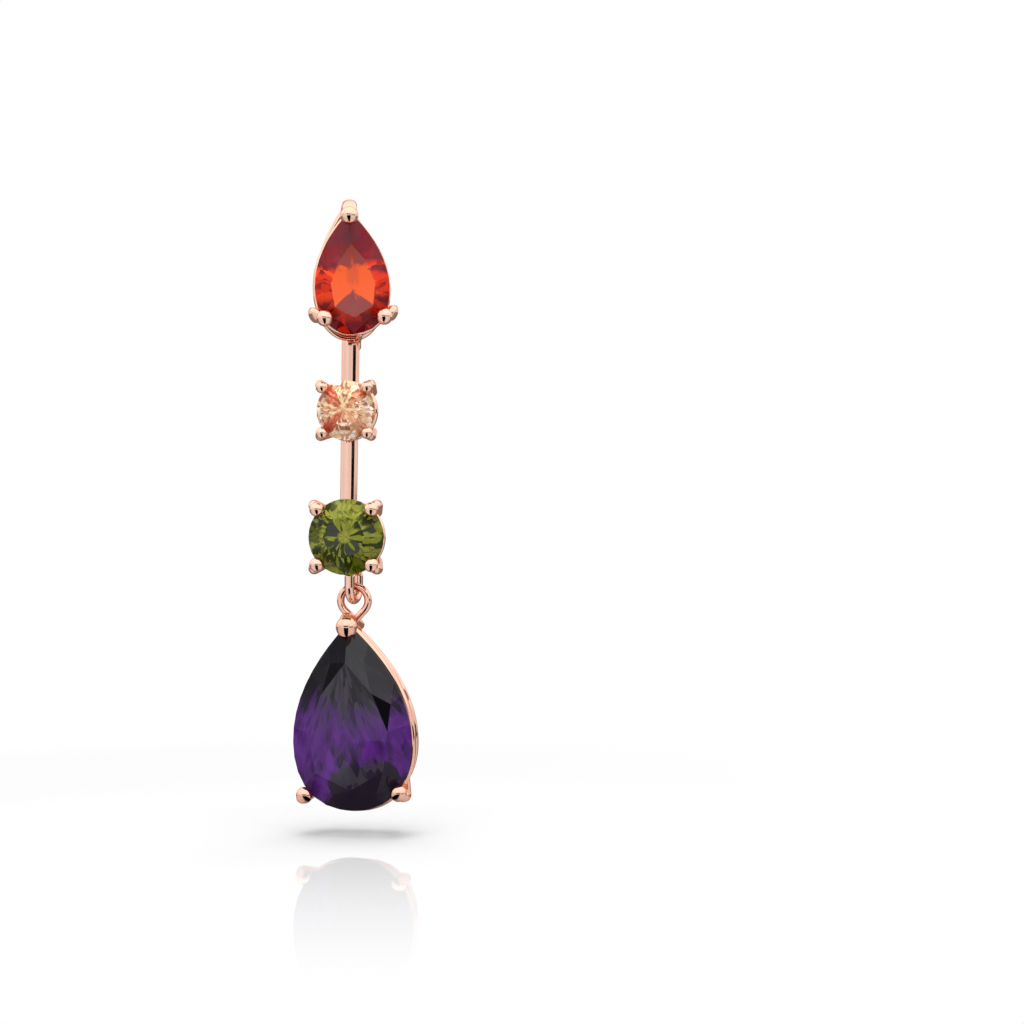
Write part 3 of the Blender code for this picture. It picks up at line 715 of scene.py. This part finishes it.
orange_gem, tree, fire = gem("orange_gem", clear=0.12, refraction=1.8, shift=0.4, around=1.7, along=2.0)
up, tone, fine = fire["Up"], fire["Tone"], fire["Fine"]
side = size_of(tree, fire["Across"])
level = moved(tree, up, tone, 0.5)
# The crown's colour is painted light and shade over the stone's own red: maroon shade at the tip with a
# lighter painted haze, a deep red middle with painted flame and ember cells, and darker painted shade
# below and in dusk cells.
body = layers(
    tree,
    MAROON,
    (step(tree, level, 0.5, 0.3), DEEP_RED),
    (tree.times(step(tree, up, 1.2, 0.6), fire["Haze"], step(tree, fine, 0.35, 0.8)), HAZY_LIGHT_RED),
    (step(tree, level, -0.3, -0.55), LOWER_RED),
    (tree.times(step(tree, fine, 0.66, 0.74), 0.6), DUSK_RED),
    (tree.times(band(tree, level, -0.5, -0.3, 0.15, 0.4), step(tree, tone, 0.35, 0.25)), FLAME),
    (tree.times(step(tree, up, -0.5, -0.6), step(tree, fine, 0.3, 0.22)), EMBER_RED),
)
# The table's colour is painted light and shade too: a lit orange band over brown shade, a darker red strip
# in its middle, a painted brown shade wedge at its lower end with lighter flecks, and a red spear at its
# upper end.
level = moved(tree, up, fine, 0.26)
lit = step(tree, level, 0.62, 0.42)
strip = tree.times(step(tree, side, 0.22, 0.08), step(tree, level, -0.02, 0.12), lit)
wedge = tree.math("ADD", up, tree.times(side, 0.8))
wedge = step(tree, tree.math("SUBTRACT", wedge, tree.times(tone, 0.1)), -0.12, -0.18)
taper = tree.times(outside(tree, up), 0.22)
spear = tree.math("SUBTRACT", taper, size_of(tree, tree.math("ADD", side, 0.02)))
spear = tree.times(step(tree, spear, 0, 0.03), step(tree, up, 0.5, 0.62))
face = layers(
    tree,
    TABLE_BROWN,
    (lit, TABLE_ORANGE),
    (tree.times(strip, 0.5), STRIP_RED),
    (wedge, WEDGE_BROWN),
    (tree.times(wedge, step(tree, fine, 0.7, 0.78)), WEDGE_EMBER),
    (tree.times(spear, 0.6), SPEAR_RED),
)
tree.into("Principled BSDF", {"Base Color": tree.blend(fire["Table"], body, face)})
orange = faceted_stone(
    "orange_stone_cut",
    top_half,
    (TOP_CROWN, TOP_PAVILION),
    TOP_TABLE,
    PEAR_ROWS,
    top_seat,
    orange_gem,
    table_gloss=0.4,
    gloss=ORANGE_GLOSS,
    table_drop=0.35 * MM,
)
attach(orange, "upper")
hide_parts("orange_stone")

# The long bar: a drawn rose gold rod, a little thinner at its lower end, that both round
# baskets are soldered to.

BAR_END_RADIUS = 0.55 * MM
BAR_TOP_SIDE = 0.08 * MM
BAR_ABOVE_RAIL = 0.45 * MM
BAR_END_SIDE = -0.12 * MM
CHAMPAGNE_PLACE = (-0.03 * MM, STONE_PLANE, -10.05 * MM)
GREEN_PLACE = (-0.03 * MM, STONE_PLANE, -18.34 * MM)
BAR_BELOW_GREEN = 1.4 * MM

bar_path = [
    (BAR_TOP_SIDE, STONE_PLANE + BAR_DEPTH, TOP_PLACE[2] + foot + BAR_ABOVE_RAIL),
    (BAR_END_SIDE, STONE_PLANE + BAR_DEPTH, GREEN_PLACE[2] - BAR_BELOW_GREEN),
]
rod = open_wire(bar_path, (BAR_TOP_RADIUS, BAR_END_RADIUS), INTO_PAGE, steps=60, sides=48)
bar = metal_piece("bar", [rod], {"place": (0, 0, 0)}, rose_gold)
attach(bar, "upper")
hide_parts("upper_frame")

# The champagne basket: two ring rails and four bead-tipped claws round the smaller round
# stone, cast in rose gold and soldered across the bar.

CHAMPAGNE_DIAMETER = 3.92 * MM
CHAMPAGNE_CROWN = 0.62 * MM
CHAMPAGNE_CLAW = 0.32 * MM
CHAMPAGNE_BEAD = 0.40 * MM
ROUND_TURN = math.radians(-7)
ROUND_TABLE = 0.56
ROUND_WIRE = 0.24 * MM
ROUND_RAIL_DEPTH = 0.85 * MM
ROUND_BASE_DEPTH = 2.3 * MM
ROUND_BASE_INSET = 0.45 * MM
ROUND_SEAT = 0.8


def half_circle(diameter, count=400):
    """Right half of a circle, from its top to its bottom."""
    turn = np.linspace(0, math.pi, count)
    half = np.column_stack([np.sin(turn), np.cos(turn)]) * diameter / 2
    half[-1, 0] = 0
    return half


def round_basket(name, place, diameter, crown, leg, ball, inset, rear):
    """Rails and claws of a round basket, as named pieces. The upper rail runs just inside the
    claws' legs, and the lower one further in."""
    half = half_circle(diameter)
    sizes = {
        "leg": leg,
        "ball": ball,
        "inset": inset,
        "slope": crown / ((1 - ROUND_TABLE) * diameter / 2),
        "base": ROUND_BASE_DEPTH,
        "rear": rear,
    }
    seat = {"place": place, "turn": ROUND_TURN}
    shoulder = CLAW_GAP + leg
    leg_out = shoulder + (rear - shoulder) * ROUND_RAIL_DEPTH / ROUND_BASE_DEPTH
    upper = outline_ring(half, leg_out - ROUND_SEAT * (leg + ROUND_WIRE), ROUND_RAIL_DEPTH)
    lower = outline_ring(half, rear - ROUND_BASE_INSET, ROUND_BASE_DEPTH)
    rings = [closed_wire(line, ROUND_WIRE, INTO_PAGE) for line in (upper, lower)]
    made = [metal_piece(name + "_rails", rings, seat, rose_gold)]
    for row, share in (("upper", 0.25), ("lower", 0.75)):
        for label, side in (("left", -1), ("right", 1)):
            prong = claw(outline_spot(half, share, side), **sizes)
            made.append(metal_piece(f"{name}_{row}_{label}_claw", prong, seat, rose_gold))
    return made


for piece in round_basket(
    "champagne",
    CHAMPAGNE_PLACE,
    CHAMPAGNE_DIAMETER,
    CHAMPAGNE_CROWN,
    leg=CHAMPAGNE_CLAW,
    ball=CHAMPAGNE_BEAD,
    inset=-0.4 * CHAMPAGNE_BEAD,
    rear=-0.2 * CHAMPAGNE_CLAW,
):
    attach(piece, "upper")
    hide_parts("upper_frame")

# The champagne stone: a round brilliant of pale champagne zirconia. Its colour paints the light
# seen inside it: a cream and white painted sparkle, and painted red shards on the diagonals that
# stand for the copper of the bar behind showing through.

CHAMPAGNE_PAVILION = 1.65 * MM
ROUND_ROWS = ((0.5, 0.55), (0.28, 0.76))
TAN = (0.70, 0.31, 0.155)
CREAM = (0.88, 0.55, 0.32)
STRAW = (0.90, 0.66, 0.36)
GLINT_WHITE = (1.0, 0.90, 0.80)
SHADE_BROWN = (0.38, 0.13, 0.06)
SHARD_RED = (0.52, 0.07, 0.03)
SHARD_COPPER = (0.75, 0.26, 0.13)
LINE_BROWN = (0.42, 0.17, 0.09)

champagne_gem, tree, fire = gem(
    "champagne_gem", clear=0.12, refraction=1.9, shift=0.45, around=3.1, along=3.4, middle=(-0.06, 0, 0.04)
)
tone, fine, radius = fire["Tone"], fire["Fine"], fire["Radius"]
slant = tree.math("MINIMUM", size_of(tree, fire["Across"]), size_of(tree, fire["Up"]))
shard = step(tree, tree.math("DIVIDE", slant, radius), 0.48, 0.56)
shard = tree.times(shard, band(tree, radius, 0.12, 0.18, 0.68, 0.72), step(tree, tone, 0.12, 0.18))
# Painted light inside the stone on a tan ground: cream and straw cells, white glints towards the girdle,
# brown shade cells, red shards for the bar seen through it, and brown lines between the far facets.
body = layers(
    tree,
    TAN,
    (step(tree, tone, 0.35, 0.45), CREAM),
    (step(tree, tone, 0.66, 0.72), STRAW),
    (tree.times(step(tree, fine, 0.68, 0.72), step(tree, radius, 0.35, 0.6)), GLINT_WHITE),
    (step(tree, fine, 0.2, 0.16), SHADE_BROWN),
    (shard, SHARD_RED),
    (tree.times(shard, step(tree, fine, 0.7, 0.76)), SHARD_COPPER),
    (tree.times(fire["Edge"], 0.45), LINE_BROWN),
)
tree.into("Principled BSDF", {"Base Color": body})
champagne = faceted_stone(
    "champagne_stone_cut",
    half_circle(CHAMPAGNE_DIAMETER),
    (CHAMPAGNE_CROWN, CHAMPAGNE_PAVILION),
    ROUND_TABLE,
    ROUND_ROWS,
    {"place": CHAMPAGNE_PLACE, "turn": ROUND_TURN},
    champagne_gem,
    table_gloss=0.3,
    gloss=4 * [(0.3, 0.1, 0.4), (0.1, 0.5, 0.2)],
)
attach(champagne, "upper")
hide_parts("champagne_stone")

# The green basket: the champagne basket's larger sister, lower on the bar, with the same
# rose gold rails and claws.

GREEN_DIAMETER = 5.0 * MM
GREEN_CROWN = 0.75 * MM
GREEN_CLAW = 0.36 * MM
GREEN_BEAD = 0.48 * MM
for piece in round_basket(
    "green",
    GREEN_PLACE,
    GREEN_DIAMETER,
    GREEN_CROWN,
    leg=GREEN_CLAW,
    ball=GREEN_BEAD,
    inset=-0.12 * GREEN_BEAD,
    rear=-0.5 * GREEN_CLAW,
):
    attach(piece, "upper")
    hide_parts("upper_frame")

# The green stone: a round brilliant of olive green peridot colour. Its colour paints the light
# and shade seen inside it: a bright star of painted shards stands out from its middle, with
# painted slate grey reflections beside it.

GREEN_PAVILION = 1.9 * MM
DARK_OLIVE = (0.022, 0.029, 0.003)
OLIVE = (0.100, 0.115, 0.008)
BRIGHT_OLIVE = (0.19, 0.205, 0.018)
GLINT_OLIVE = (0.25, 0.26, 0.035)
DUSK_OLIVE = (0.028, 0.036, 0.003)
SLATE = (0.044, 0.046, 0.034)
MIDDLE_OLIVE = (0.29, 0.29, 0.04)
LINE_OLIVE = (0.022, 0.028, 0.003)
SLATE_SPOTS = (((-0.36, 0.12), 0.42), ((0.22, -0.3), 0.24))

green_gem, tree, fire = gem("green_gem", clear=0.1, refraction=1.68, shift=0.4, around=2.7, along=2.1)
tone, fine, radius = fire["Tone"], fire["Fine"], fire["Radius"]
# Two spots of painted slate grey reflection on the table.
slates = []
for place, reach in SLATE_SPOTS:
    aside = tree.math("SUBTRACT", fire["Across"], place[0])
    above = tree.math("SUBTRACT", fire["Up"], place[1])
    square = tree.math("MULTIPLY_ADD", aside, aside, tree.times(above, above))
    slate = tree.times(step(tree, square, reach**2, 0.6 * reach**2), fire["Table"])
    slates.append((tree.times(slate, step(tree, tone, 0.72, 0.68)), SLATE))
# Painted light and shade inside the stone: olive and bright olive cells on dark olive, olive glints, dusk
# shade cells towards the girdle, a bright middle and dark lines between the far facets.
body = layers(
    tree,
    DARK_OLIVE,
    (step(tree, tone, 0.36, 0.42), OLIVE),
    (step(tree, tone, 0.64, 0.70), BRIGHT_OLIVE),
    (tree.times(step(tree, fine, 0.72, 0.78), step(tree, radius, 1.2, 0.6)), GLINT_OLIVE),
    (tree.times(step(tree, fine, 0.2, 0.14), step(tree, radius, 0.3, 0.5)), DUSK_OLIVE),
    *slates,
    (step(tree, radius, 0.2, 0.1), MIDDLE_OLIVE),
    (tree.times(fire["Edge"], 0.6), LINE_OLIVE),
)
tree.into("Principled BSDF", {"Base Color": body})
green = faceted_stone(
    "green_stone_cut",
    half_circle(GREEN_DIAMETER),
    (GREEN_CROWN, GREEN_PAVILION),
    ROUND_TABLE,
    ROUND_ROWS,
    {"place": GREEN_PLACE, "turn": ROUND_TURN},
    green_gem,
    table_gloss=0.08,
    gloss=4 * [(0.1, 0.05, 0.15), (0.05, 0.2, 0.25)],
)
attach(green, "upper")
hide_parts("green_stone")

# The eye: a U of thick rose gold wire under the green basket, both legs soldered to its
# rails, that the pendant's loop hangs in.

EYE_WIRE = 0.315 * MM
EYE_SPAN = 1.6 * MM
EYE_REACH = 1.64 * MM
EYE_SIDE = 0.4 * MM
EYE_TURN = math.radians(-18)
LOOP_BEHIND_STONE = 1.2 * MM
eye_low = GREEN_PLACE[2] - GREEN_DIAMETER / 2 - EYE_REACH
hang_y = STONE_PLANE + LOOP_BEHIND_STONE

rise = EYE_REACH - EYE_SPAN / 2 + ROUND_WIRE
bend = np.linspace(math.pi, 2 * math.pi, 40)
arc = np.column_stack([0 * bend, np.cos(bend), np.sin(bend)]) * EYE_SPAN / 2
u_path = np.vstack([[0, -EYE_SPAN / 2, rise], arc, [0, EYE_SPAN / 2, rise]])
eye_seat = {"place": (EYE_SIDE, hang_y, eye_low + EYE_SPAN / 2), "turn": EYE_TURN}
eye = metal_piece("eye", [open_wire(u_path, EYE_WIRE, (1, 0, 0), steps=80)], eye_seat, rose_gold)
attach(eye, "upper")
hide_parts("upper_frame")

# The bail loop: a closed teardrop of thin wire, soldered to the tip claw of the hanging
# basket. It hangs in the eye and everything below swings with it.

LOOP_WIRE = 0.25 * MM
LOOP_RADIUS = 0.93 * MM
LOOP_FOOT = 1.30 * MM
HANG_GAP = 0.3 * MM
DROP_LEAN = math.radians(-2.3)
DROP_TURN = math.radians(-11)
hang_place = (EYE_SIDE, hang_y, eye_low + EYE_WIRE + HANG_GAP + LOOP_WIRE)
hang_seat = {"place": hang_place, "lean": DROP_LEAN, "turn": DROP_TURN}
coppery_gold = alloy("coppery_gold", (0.88, 0.53, 0.41), (0.83, 0.46, 0.34), polish=0.08)

meet = math.acos(LOOP_RADIUS / LOOP_FOOT)
sweep = np.linspace(meet - math.pi / 2, 1.5 * math.pi - meet, 90)
circle = np.column_stack([np.cos(sweep), 0 * sweep, np.sin(sweep) - 1]) * LOOP_RADIUS
loop_foot = np.array([[0, 0, -LOOP_RADIUS - LOOP_FOOT]])
teardrop = even(np.vstack([loop_foot, circle, loop_foot]), 140)[:-1]
loop_grid = closed_wire(teardrop, LOOP_WIRE, INTO_PAGE)
bail = metal_piece("bail_loop", [loop_grid], hang_seat, coppery_gold)
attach(bail, "pendant")
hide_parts("pendant_setting")

# The hanging rails and struts: two pear-shaped wires behind the large stone's girdle, held
# apart by a flat strut on each side, in a slightly more coppery gold.

DROP_LENGTH = 12.22 * MM
DROP_WIDTH = 8.0 * MM
DROP_WAIST = 4.45 * MM
DROP_WIRE = 0.24 * MM
DROP_RAIL_DEPTH = 0.7 * MM
DROP_BASE_DEPTH = 3.0 * MM
DROP_BASE_INSET = 0.5 * MM
DROP_TIP_CLAW = 0.34 * MM
DROP_TIP_REAR = -0.2 * MM
LOOP_SIDE = 0.2 * MM
STRUT_SHARE = 0.375
STRUT_HALF_THICKNESS = 0.2 * MM
STRUT_HALF_WIDTH = 0.5 * MM

shoulder = CLAW_GAP + DROP_TIP_CLAW
foot_out = shoulder + (DROP_TIP_REAR - shoulder) * LOOP_BEHIND_STONE / DROP_BASE_DEPTH
drop_down = LOOP_RADIUS + LOOP_FOOT + foot_out + DROP_LENGTH - DROP_WAIST
drop_local = np.array([[-LOOP_SIDE, -LOOP_BEHIND_STONE, -drop_down]])
drop_seat = {**hang_seat, "place": tuple(seated(drop_local, **hang_seat)[0])}
drop_half = half_pear(DROP_LENGTH, DROP_WIDTH, DROP_WAIST)
front_rail = outline_ring(drop_half, -DROP_WIRE / 2, DROP_RAIL_DEPTH, count=130)
back_rail = outline_ring(drop_half, -DROP_BASE_INSET, DROP_BASE_DEPTH, count=130)
rails = [closed_wire(line, DROP_WIRE, INTO_PAGE) for line in (front_rail, back_rail)]
hanging_frame = {"drop_rails": rails}
for label, side in (("left", -1), ("right", 1)):
    point, normal, tangent = outline_spot(drop_half, STRUT_SHARE, side)
    near = point - DROP_WIRE / 2 * normal
    far = point - DROP_BASE_INSET * normal
    strut = open_wire(
        [(near[0], DROP_RAIL_DEPTH, near[1]), (far[0], DROP_BASE_DEPTH, far[1])],
        STRUT_HALF_THICKNESS,
        (tangent[0], 0, tangent[1]),
        sides=32,
        flat=STRUT_HALF_WIDTH / STRUT_HALF_THICKNESS,
        power=3,
    )
    hanging_frame[f"drop_{label}_strut"] = [strut]
for name, grids in hanging_frame.items():
    piece = metal_piece(name, grids, drop_seat, coppery_gold)
    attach(piece, "pendant")
    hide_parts("pendant_setting")

# The hanging claws: one heavy bead at the tip and two prongs that stand proud at the lower
# corners, of the same coppery gold, soldered to both rails.

DROP_CLAW = 0.42 * MM
DROP_BEAD = 0.55 * MM
DROP_TIP_BEAD = 0.70 * MM
DROP_TIP_INSET = 0.15 * MM
DROP_TIP_SLIP = 0.24 * MM
DROP_CLAW_SHARE = 0.785
DROP_CROWN = 1.0 * MM
DROP_TABLE = 0.68
drop_slope = DROP_CROWN / ((1 - DROP_TABLE) * DROP_WIDTH / 2)
drop_sizes = {"slope": drop_slope, "base": DROP_BASE_DEPTH}
tip_sizes = {
    "leg": DROP_TIP_CLAW,
    "ball": DROP_TIP_BEAD,
    "rear": DROP_TIP_REAR,
    "inset": DROP_TIP_INSET,
    "slip": DROP_TIP_SLIP,
    "drawn": 0.16,
    **drop_sizes,
}
low_sizes = {
    "leg": DROP_CLAW,
    "ball": DROP_BEAD,
    "rear": -DROP_BASE_INSET,
    "inset": -0.36 * DROP_BEAD,
    **drop_sizes,
}
hanging_claws = {
    "drop_tip_claw": claw(outline_spot(drop_half, 0, 1), **tip_sizes),
    "drop_left_claw": claw(outline_spot(drop_half, DROP_CLAW_SHARE, -1), **low_sizes),
    "drop_right_claw": claw(outline_spot(drop_half, DROP_CLAW_SHARE, 1), **low_sizes),
}
for name, grids in hanging_claws.items():
    piece = metal_piece(name, grids, drop_seat, coppery_gold)
    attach(piece, "pendant")
    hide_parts("pendant_setting")

# The purple stone: a large pear brilliant of deep violet amethyst colour. Its colour paints the
# light and shade seen in it: painted shade makes it nearly black at the tip, where one broad
# facet mirrors the studio in grey, by its coat and in painted grey, violet below, and painted
# shade makes it dark again at its lower end.

DROP_PAVILION = 3.1 * MM
BLACK_VIOLET = (0.020, 0.014, 0.024)
TIP_BLACK = (0.004, 0.003, 0.005)
TABLE_REFLECTION_GREY = (0.038, 0.033, 0.046)
VIOLET = (0.052, 0.011, 0.105)
BRIGHT_VIOLET = (0.098, 0.022, 0.20)
DUSK_VIOLET = (0.016, 0.009, 0.026)
MATT_FACET_SHADE = (0.0005, 0.0004, 0.001)
PURPLE_GLOSS = [
    (0.5, 0.5, 0.35),
    (0.35, 0.0, 0.1),
    (0.1, 0.1, 0.1),
    (0.2, 0.1, 0.15),
    (0.1, 0.15, 0.1),
    (0.1, 0.1, 0.1),
    (0.1, 0.15, 0.1),
    (0.1, 0.02, 0.06),
]

purple_gem, tree, fire = gem(
    "purple_gem", clear=0.06, refraction=1.55, shift=0.25, around=6.5, along=1.6, middle=(-0.05, 0, 1.5)
)
fine, haze = fire["Fine"], fire["Haze"]
level = moved(tree, moved(tree, fire["Up"], fire["Tone"], 0.3), haze, 0.5)
low = size_of(tree, tree.math("SUBTRACT", fire["Across"], 0.15))
low = tree.math("MULTIPLY_ADD", low, 0.6, level)
violet = tree.times(step(tree, level, 0.7, 0.1), step(tree, low, -0.34, 0.0))
# Painted light and shade over the violet: black shade at the tip, a painted grey reflection on the table,
# violet with brighter haze below, dusk shade cells, and black shade on the facets without gloss.
body = layers(
    tree,
    BLACK_VIOLET,
    (step(tree, fire["Up"], 0.1, 1.0), TIP_BLACK),
    (tree.times(step(tree, fine, 0.0, 0.9), fire["Table"]), TABLE_REFLECTION_GREY),
    (violet, VIOLET),
    (tree.times(violet, haze), BRIGHT_VIOLET),
    (tree.times(step(tree, fine, 0.35, 0.05), 0.4), DUSK_VIOLET),
    (step(tree, fire["Gloss"], 0.03, 0.01), MATT_FACET_SHADE),
)
tree.into("Principled BSDF", {"Base Color": body})
purple = faceted_stone(
    "purple_stone_cut",
    drop_half,
    (DROP_CROWN, DROP_PAVILION),
    DROP_TABLE,
    PEAR_ROWS,
    drop_seat,
    purple_gem,
    table_gloss=0.28,
    gloss=PURPLE_GLOSS,
)
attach(purple, "pendant")
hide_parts("purple_stone")

# The studio: a plain white floor that runs on into the white background. It is shaded only
# round the earring, where it takes a soft shadow and a faint mirror image.

FLOOR = -37.9 * MM
FLOOR_HALF_WIDTH = 2000 * MM
FLOOR_NEAR = -62 * MM
FLOOR_FAR = 3000 * MM
SHADOW_CENTRE = -3.4 * MM
FLOOR_GREY = 0.24
SHADED_WITHIN = 14 * MM
WHITE_BEYOND = 40 * MM
MIRROR_WITHIN = 50 * MM
MIRROR_END = 70 * MM
MIRROR_FRONT = -52 * MM
MIRROR_FULL = -14 * MM
FLAG_SLOPE = 0.42


def covered(tree, mask, below, above):
    """A shader that another one covers by a mask."""
    return tree.node("MixShader", {0: mask, 1: below, 2: above})[0]


pale, tree = new_material("pale_floor")
pale.node_tree.nodes.remove(pale.node_tree.nodes["Principled BSDF"])
spot = tree.node("SeparateXYZ", {0: tree.node("TexCoord", {})["Object"]})
side = size_of(tree, spot["X"])
behind = tree.math("SUBTRACT", spot["Y"], SHADOW_CENTRE)
away = tree.math("SQRT", tree.math("MULTIPLY_ADD", behind, behind, tree.times(side, side)))
matt = tree.node("BsdfDiffuse", {"Color": 3 * (FLOOR_GREY,)})[0]
glow = tree.node("Emission", {})[0]
ground = covered(tree, step(tree, away, SHADED_WITHIN, WHITE_BEYOND), matt, glow)
polish = tree.node("BsdfGlossy", {"Color": (1, 1, 1), "Roughness": 0.0})[0]
grazing = tree.node("Fresnel", {"IOR": 1.15})[0]
gleam = step(tree, away, MIRROR_END, MIRROR_WITHIN)
gleam = tree.times(gleam, step(tree, spot["Y"], MIRROR_FRONT, MIRROR_FULL))
ground = covered(tree, tree.times(grazing, gleam), ground, polish)

# Metal and stones mirror the floor darker than it is: black in a wedge in front of the
# earring, and shaded behind it.
flag = tree.math("SUBTRACT", tree.times(side, -1), tree.times(behind, FLAG_SLOPE))
shade = tree.math("MULTIPLY_ADD", step(tree, behind, 0, 20 * MM), 0.55, 0.15)
flag = tree.math("MAXIMUM", step(tree, flag, -3 * MM, -1 * MM), shade)
flag = tree.times(flag, tree.node("LightPath", {})["Is Glossy Ray"])
dark = tree.node("Emission", {"Color": (0, 0, 0)})[0]
tree.into("Material Output", {"Surface": covered(tree, flag, ground, dark)})

corners = [(x, y, FLOOR) for y in (FLOOR_NEAR, FLOOR_FAR) for x in (-FLOOR_HALF_WIDTH, FLOOR_HALF_WIDTH)]
mesh = bpy.data.meshes.new("floor")
mesh.from_pydata(corners, [], [(0, 1, 3, 2)])
mesh.materials.append(pale)
floor = in_scene("floor", mesh)

# Its light: a white tent with a brighter roof, a forked seam in front, dark gaps and a dark
# back with one opening, which draw the dark lines on the bar and the stems on the beads. Of
# two softboxes overhead, one lights the earring alone and one the floor alone.

BOX_HEIGHT = 260 * MM
BOX_WIDTH = 240 * MM
world = bpy.data.worlds.new("tent")
bpy.context.scene.world = world
world.use_nodes = True
tree = ShaderTree(world.node_tree)
way = tree.node("SeparateXYZ", {0: tree.node("TexCoord", {})["Generated"]})
rays = tree.node("LightPath", {})
height = way["Z"]
side = size_of(tree, way["X"])
front = tree.times(way["Y"], -1)
azimuth = tree.times(tree.math("ARCTAN2", way["X"], front), 180 / math.pi)
right_gap = tree.times(band(tree, azimuth, 31, 37, 74, 84), band(tree, height, -0.07, -0.04, 0.09, 0.12))
low_gap = tree.times(step(tree, size_of(tree, height), 0.09, 0.12), step(tree, height, 0.34, 0.28))
low_gap = tree.times(band(tree, azimuth, -32, -26, 20, 26), low_gap)
seam = size_of(tree, tree.math("SUBTRACT", height, tree.times(side, 0.8)))
seam = tree.times(step(tree, seam, 0.1, 0.03), step(tree, side, 0.05, 0.16))
seam = tree.times(seam, step(tree, front, 0, 0.1), 0.4)
opening = band(tree, height, 0.0, 0.04, 0.28, 0.34)
back = tree.times(step(tree, size_of(tree, azimuth), 130, 155), step(tree, height, 0.6, 0.35))
back = tree.times(back, outside(tree, opening))
panels = tree.times(tree.math("ADD", azimuth, 32), 4 * math.pi / 180)
panels = tree.math("MULTIPLY_ADD", tree.math("COSINE", panels), 0.06, 1.0)
panels = tree.math("SUBTRACT", panels, tree.times(back, 0.75))
roof = tree.times(step(tree, height, 0.2, 0.45), outside(tree, back), rays["Is Glossy Ray"])
light = tree.math("MULTIPLY_ADD", roof, 0.55, panels)
for gap in (seam, right_gap, low_gap):
    light = tree.times(light, outside(tree, gap))
light = tree.math("MAXIMUM", light, rays["Is Camera Ray"])
tree.into("Background", {"Color": (1, 1, 1), "Strength": light})

for name, length, place, energy, state in (
    ("earring_softbox", 600 * MM, 130 * MM, 4.8, "EXCLUDE"),
    ("floor_softbox", 400 * MM, 0.0, 4.3, "INCLUDE"),
):
    data = bpy.data.lights.new(name, "AREA")
    data.shape = "RECTANGLE"
    data.size = BOX_WIDTH
    data.size_y = length
    data.energy = energy
    softbox = in_scene(name, data)
    softbox.location = (0, place, BOX_HEIGHT)
    softbox.visible_glossy = False
    lit = bpy.data.collections.new(name)
    lit.objects.link(floor)
    lit.collection_objects[0].light_linking.link_state = state
    softbox.light_linking.receiver_collection = lit

# The camera: level, at the middle of the photograph's height, 150 mm from the stones' plane,
# with the earring in the frame's left half.

SHOT_WIDTH = 67.07 * MM
SHOT_DISTANCE = 150 * MM
SHOT_SIDE = 10.84 * MM
SHOT_HEIGHT = -16.7 * MM
SENSOR_WIDTH = 36
data = bpy.data.cameras.new("camera")
data.sensor_width = SENSOR_WIDTH
data.lens = SENSOR_WIDTH * SHOT_DISTANCE / SHOT_WIDTH
data.clip_start = 0.01
data.clip_end = 10
camera = in_scene("camera", data)
camera.location = (SHOT_SIDE, STONE_PLANE - SHOT_DISTANCE, SHOT_HEIGHT)
camera.rotation_euler = (math.pi / 2, 0, 0)
bpy.context.scene.camera = camera
bpy.context.scene.view_settings.view_transform = "Standard"
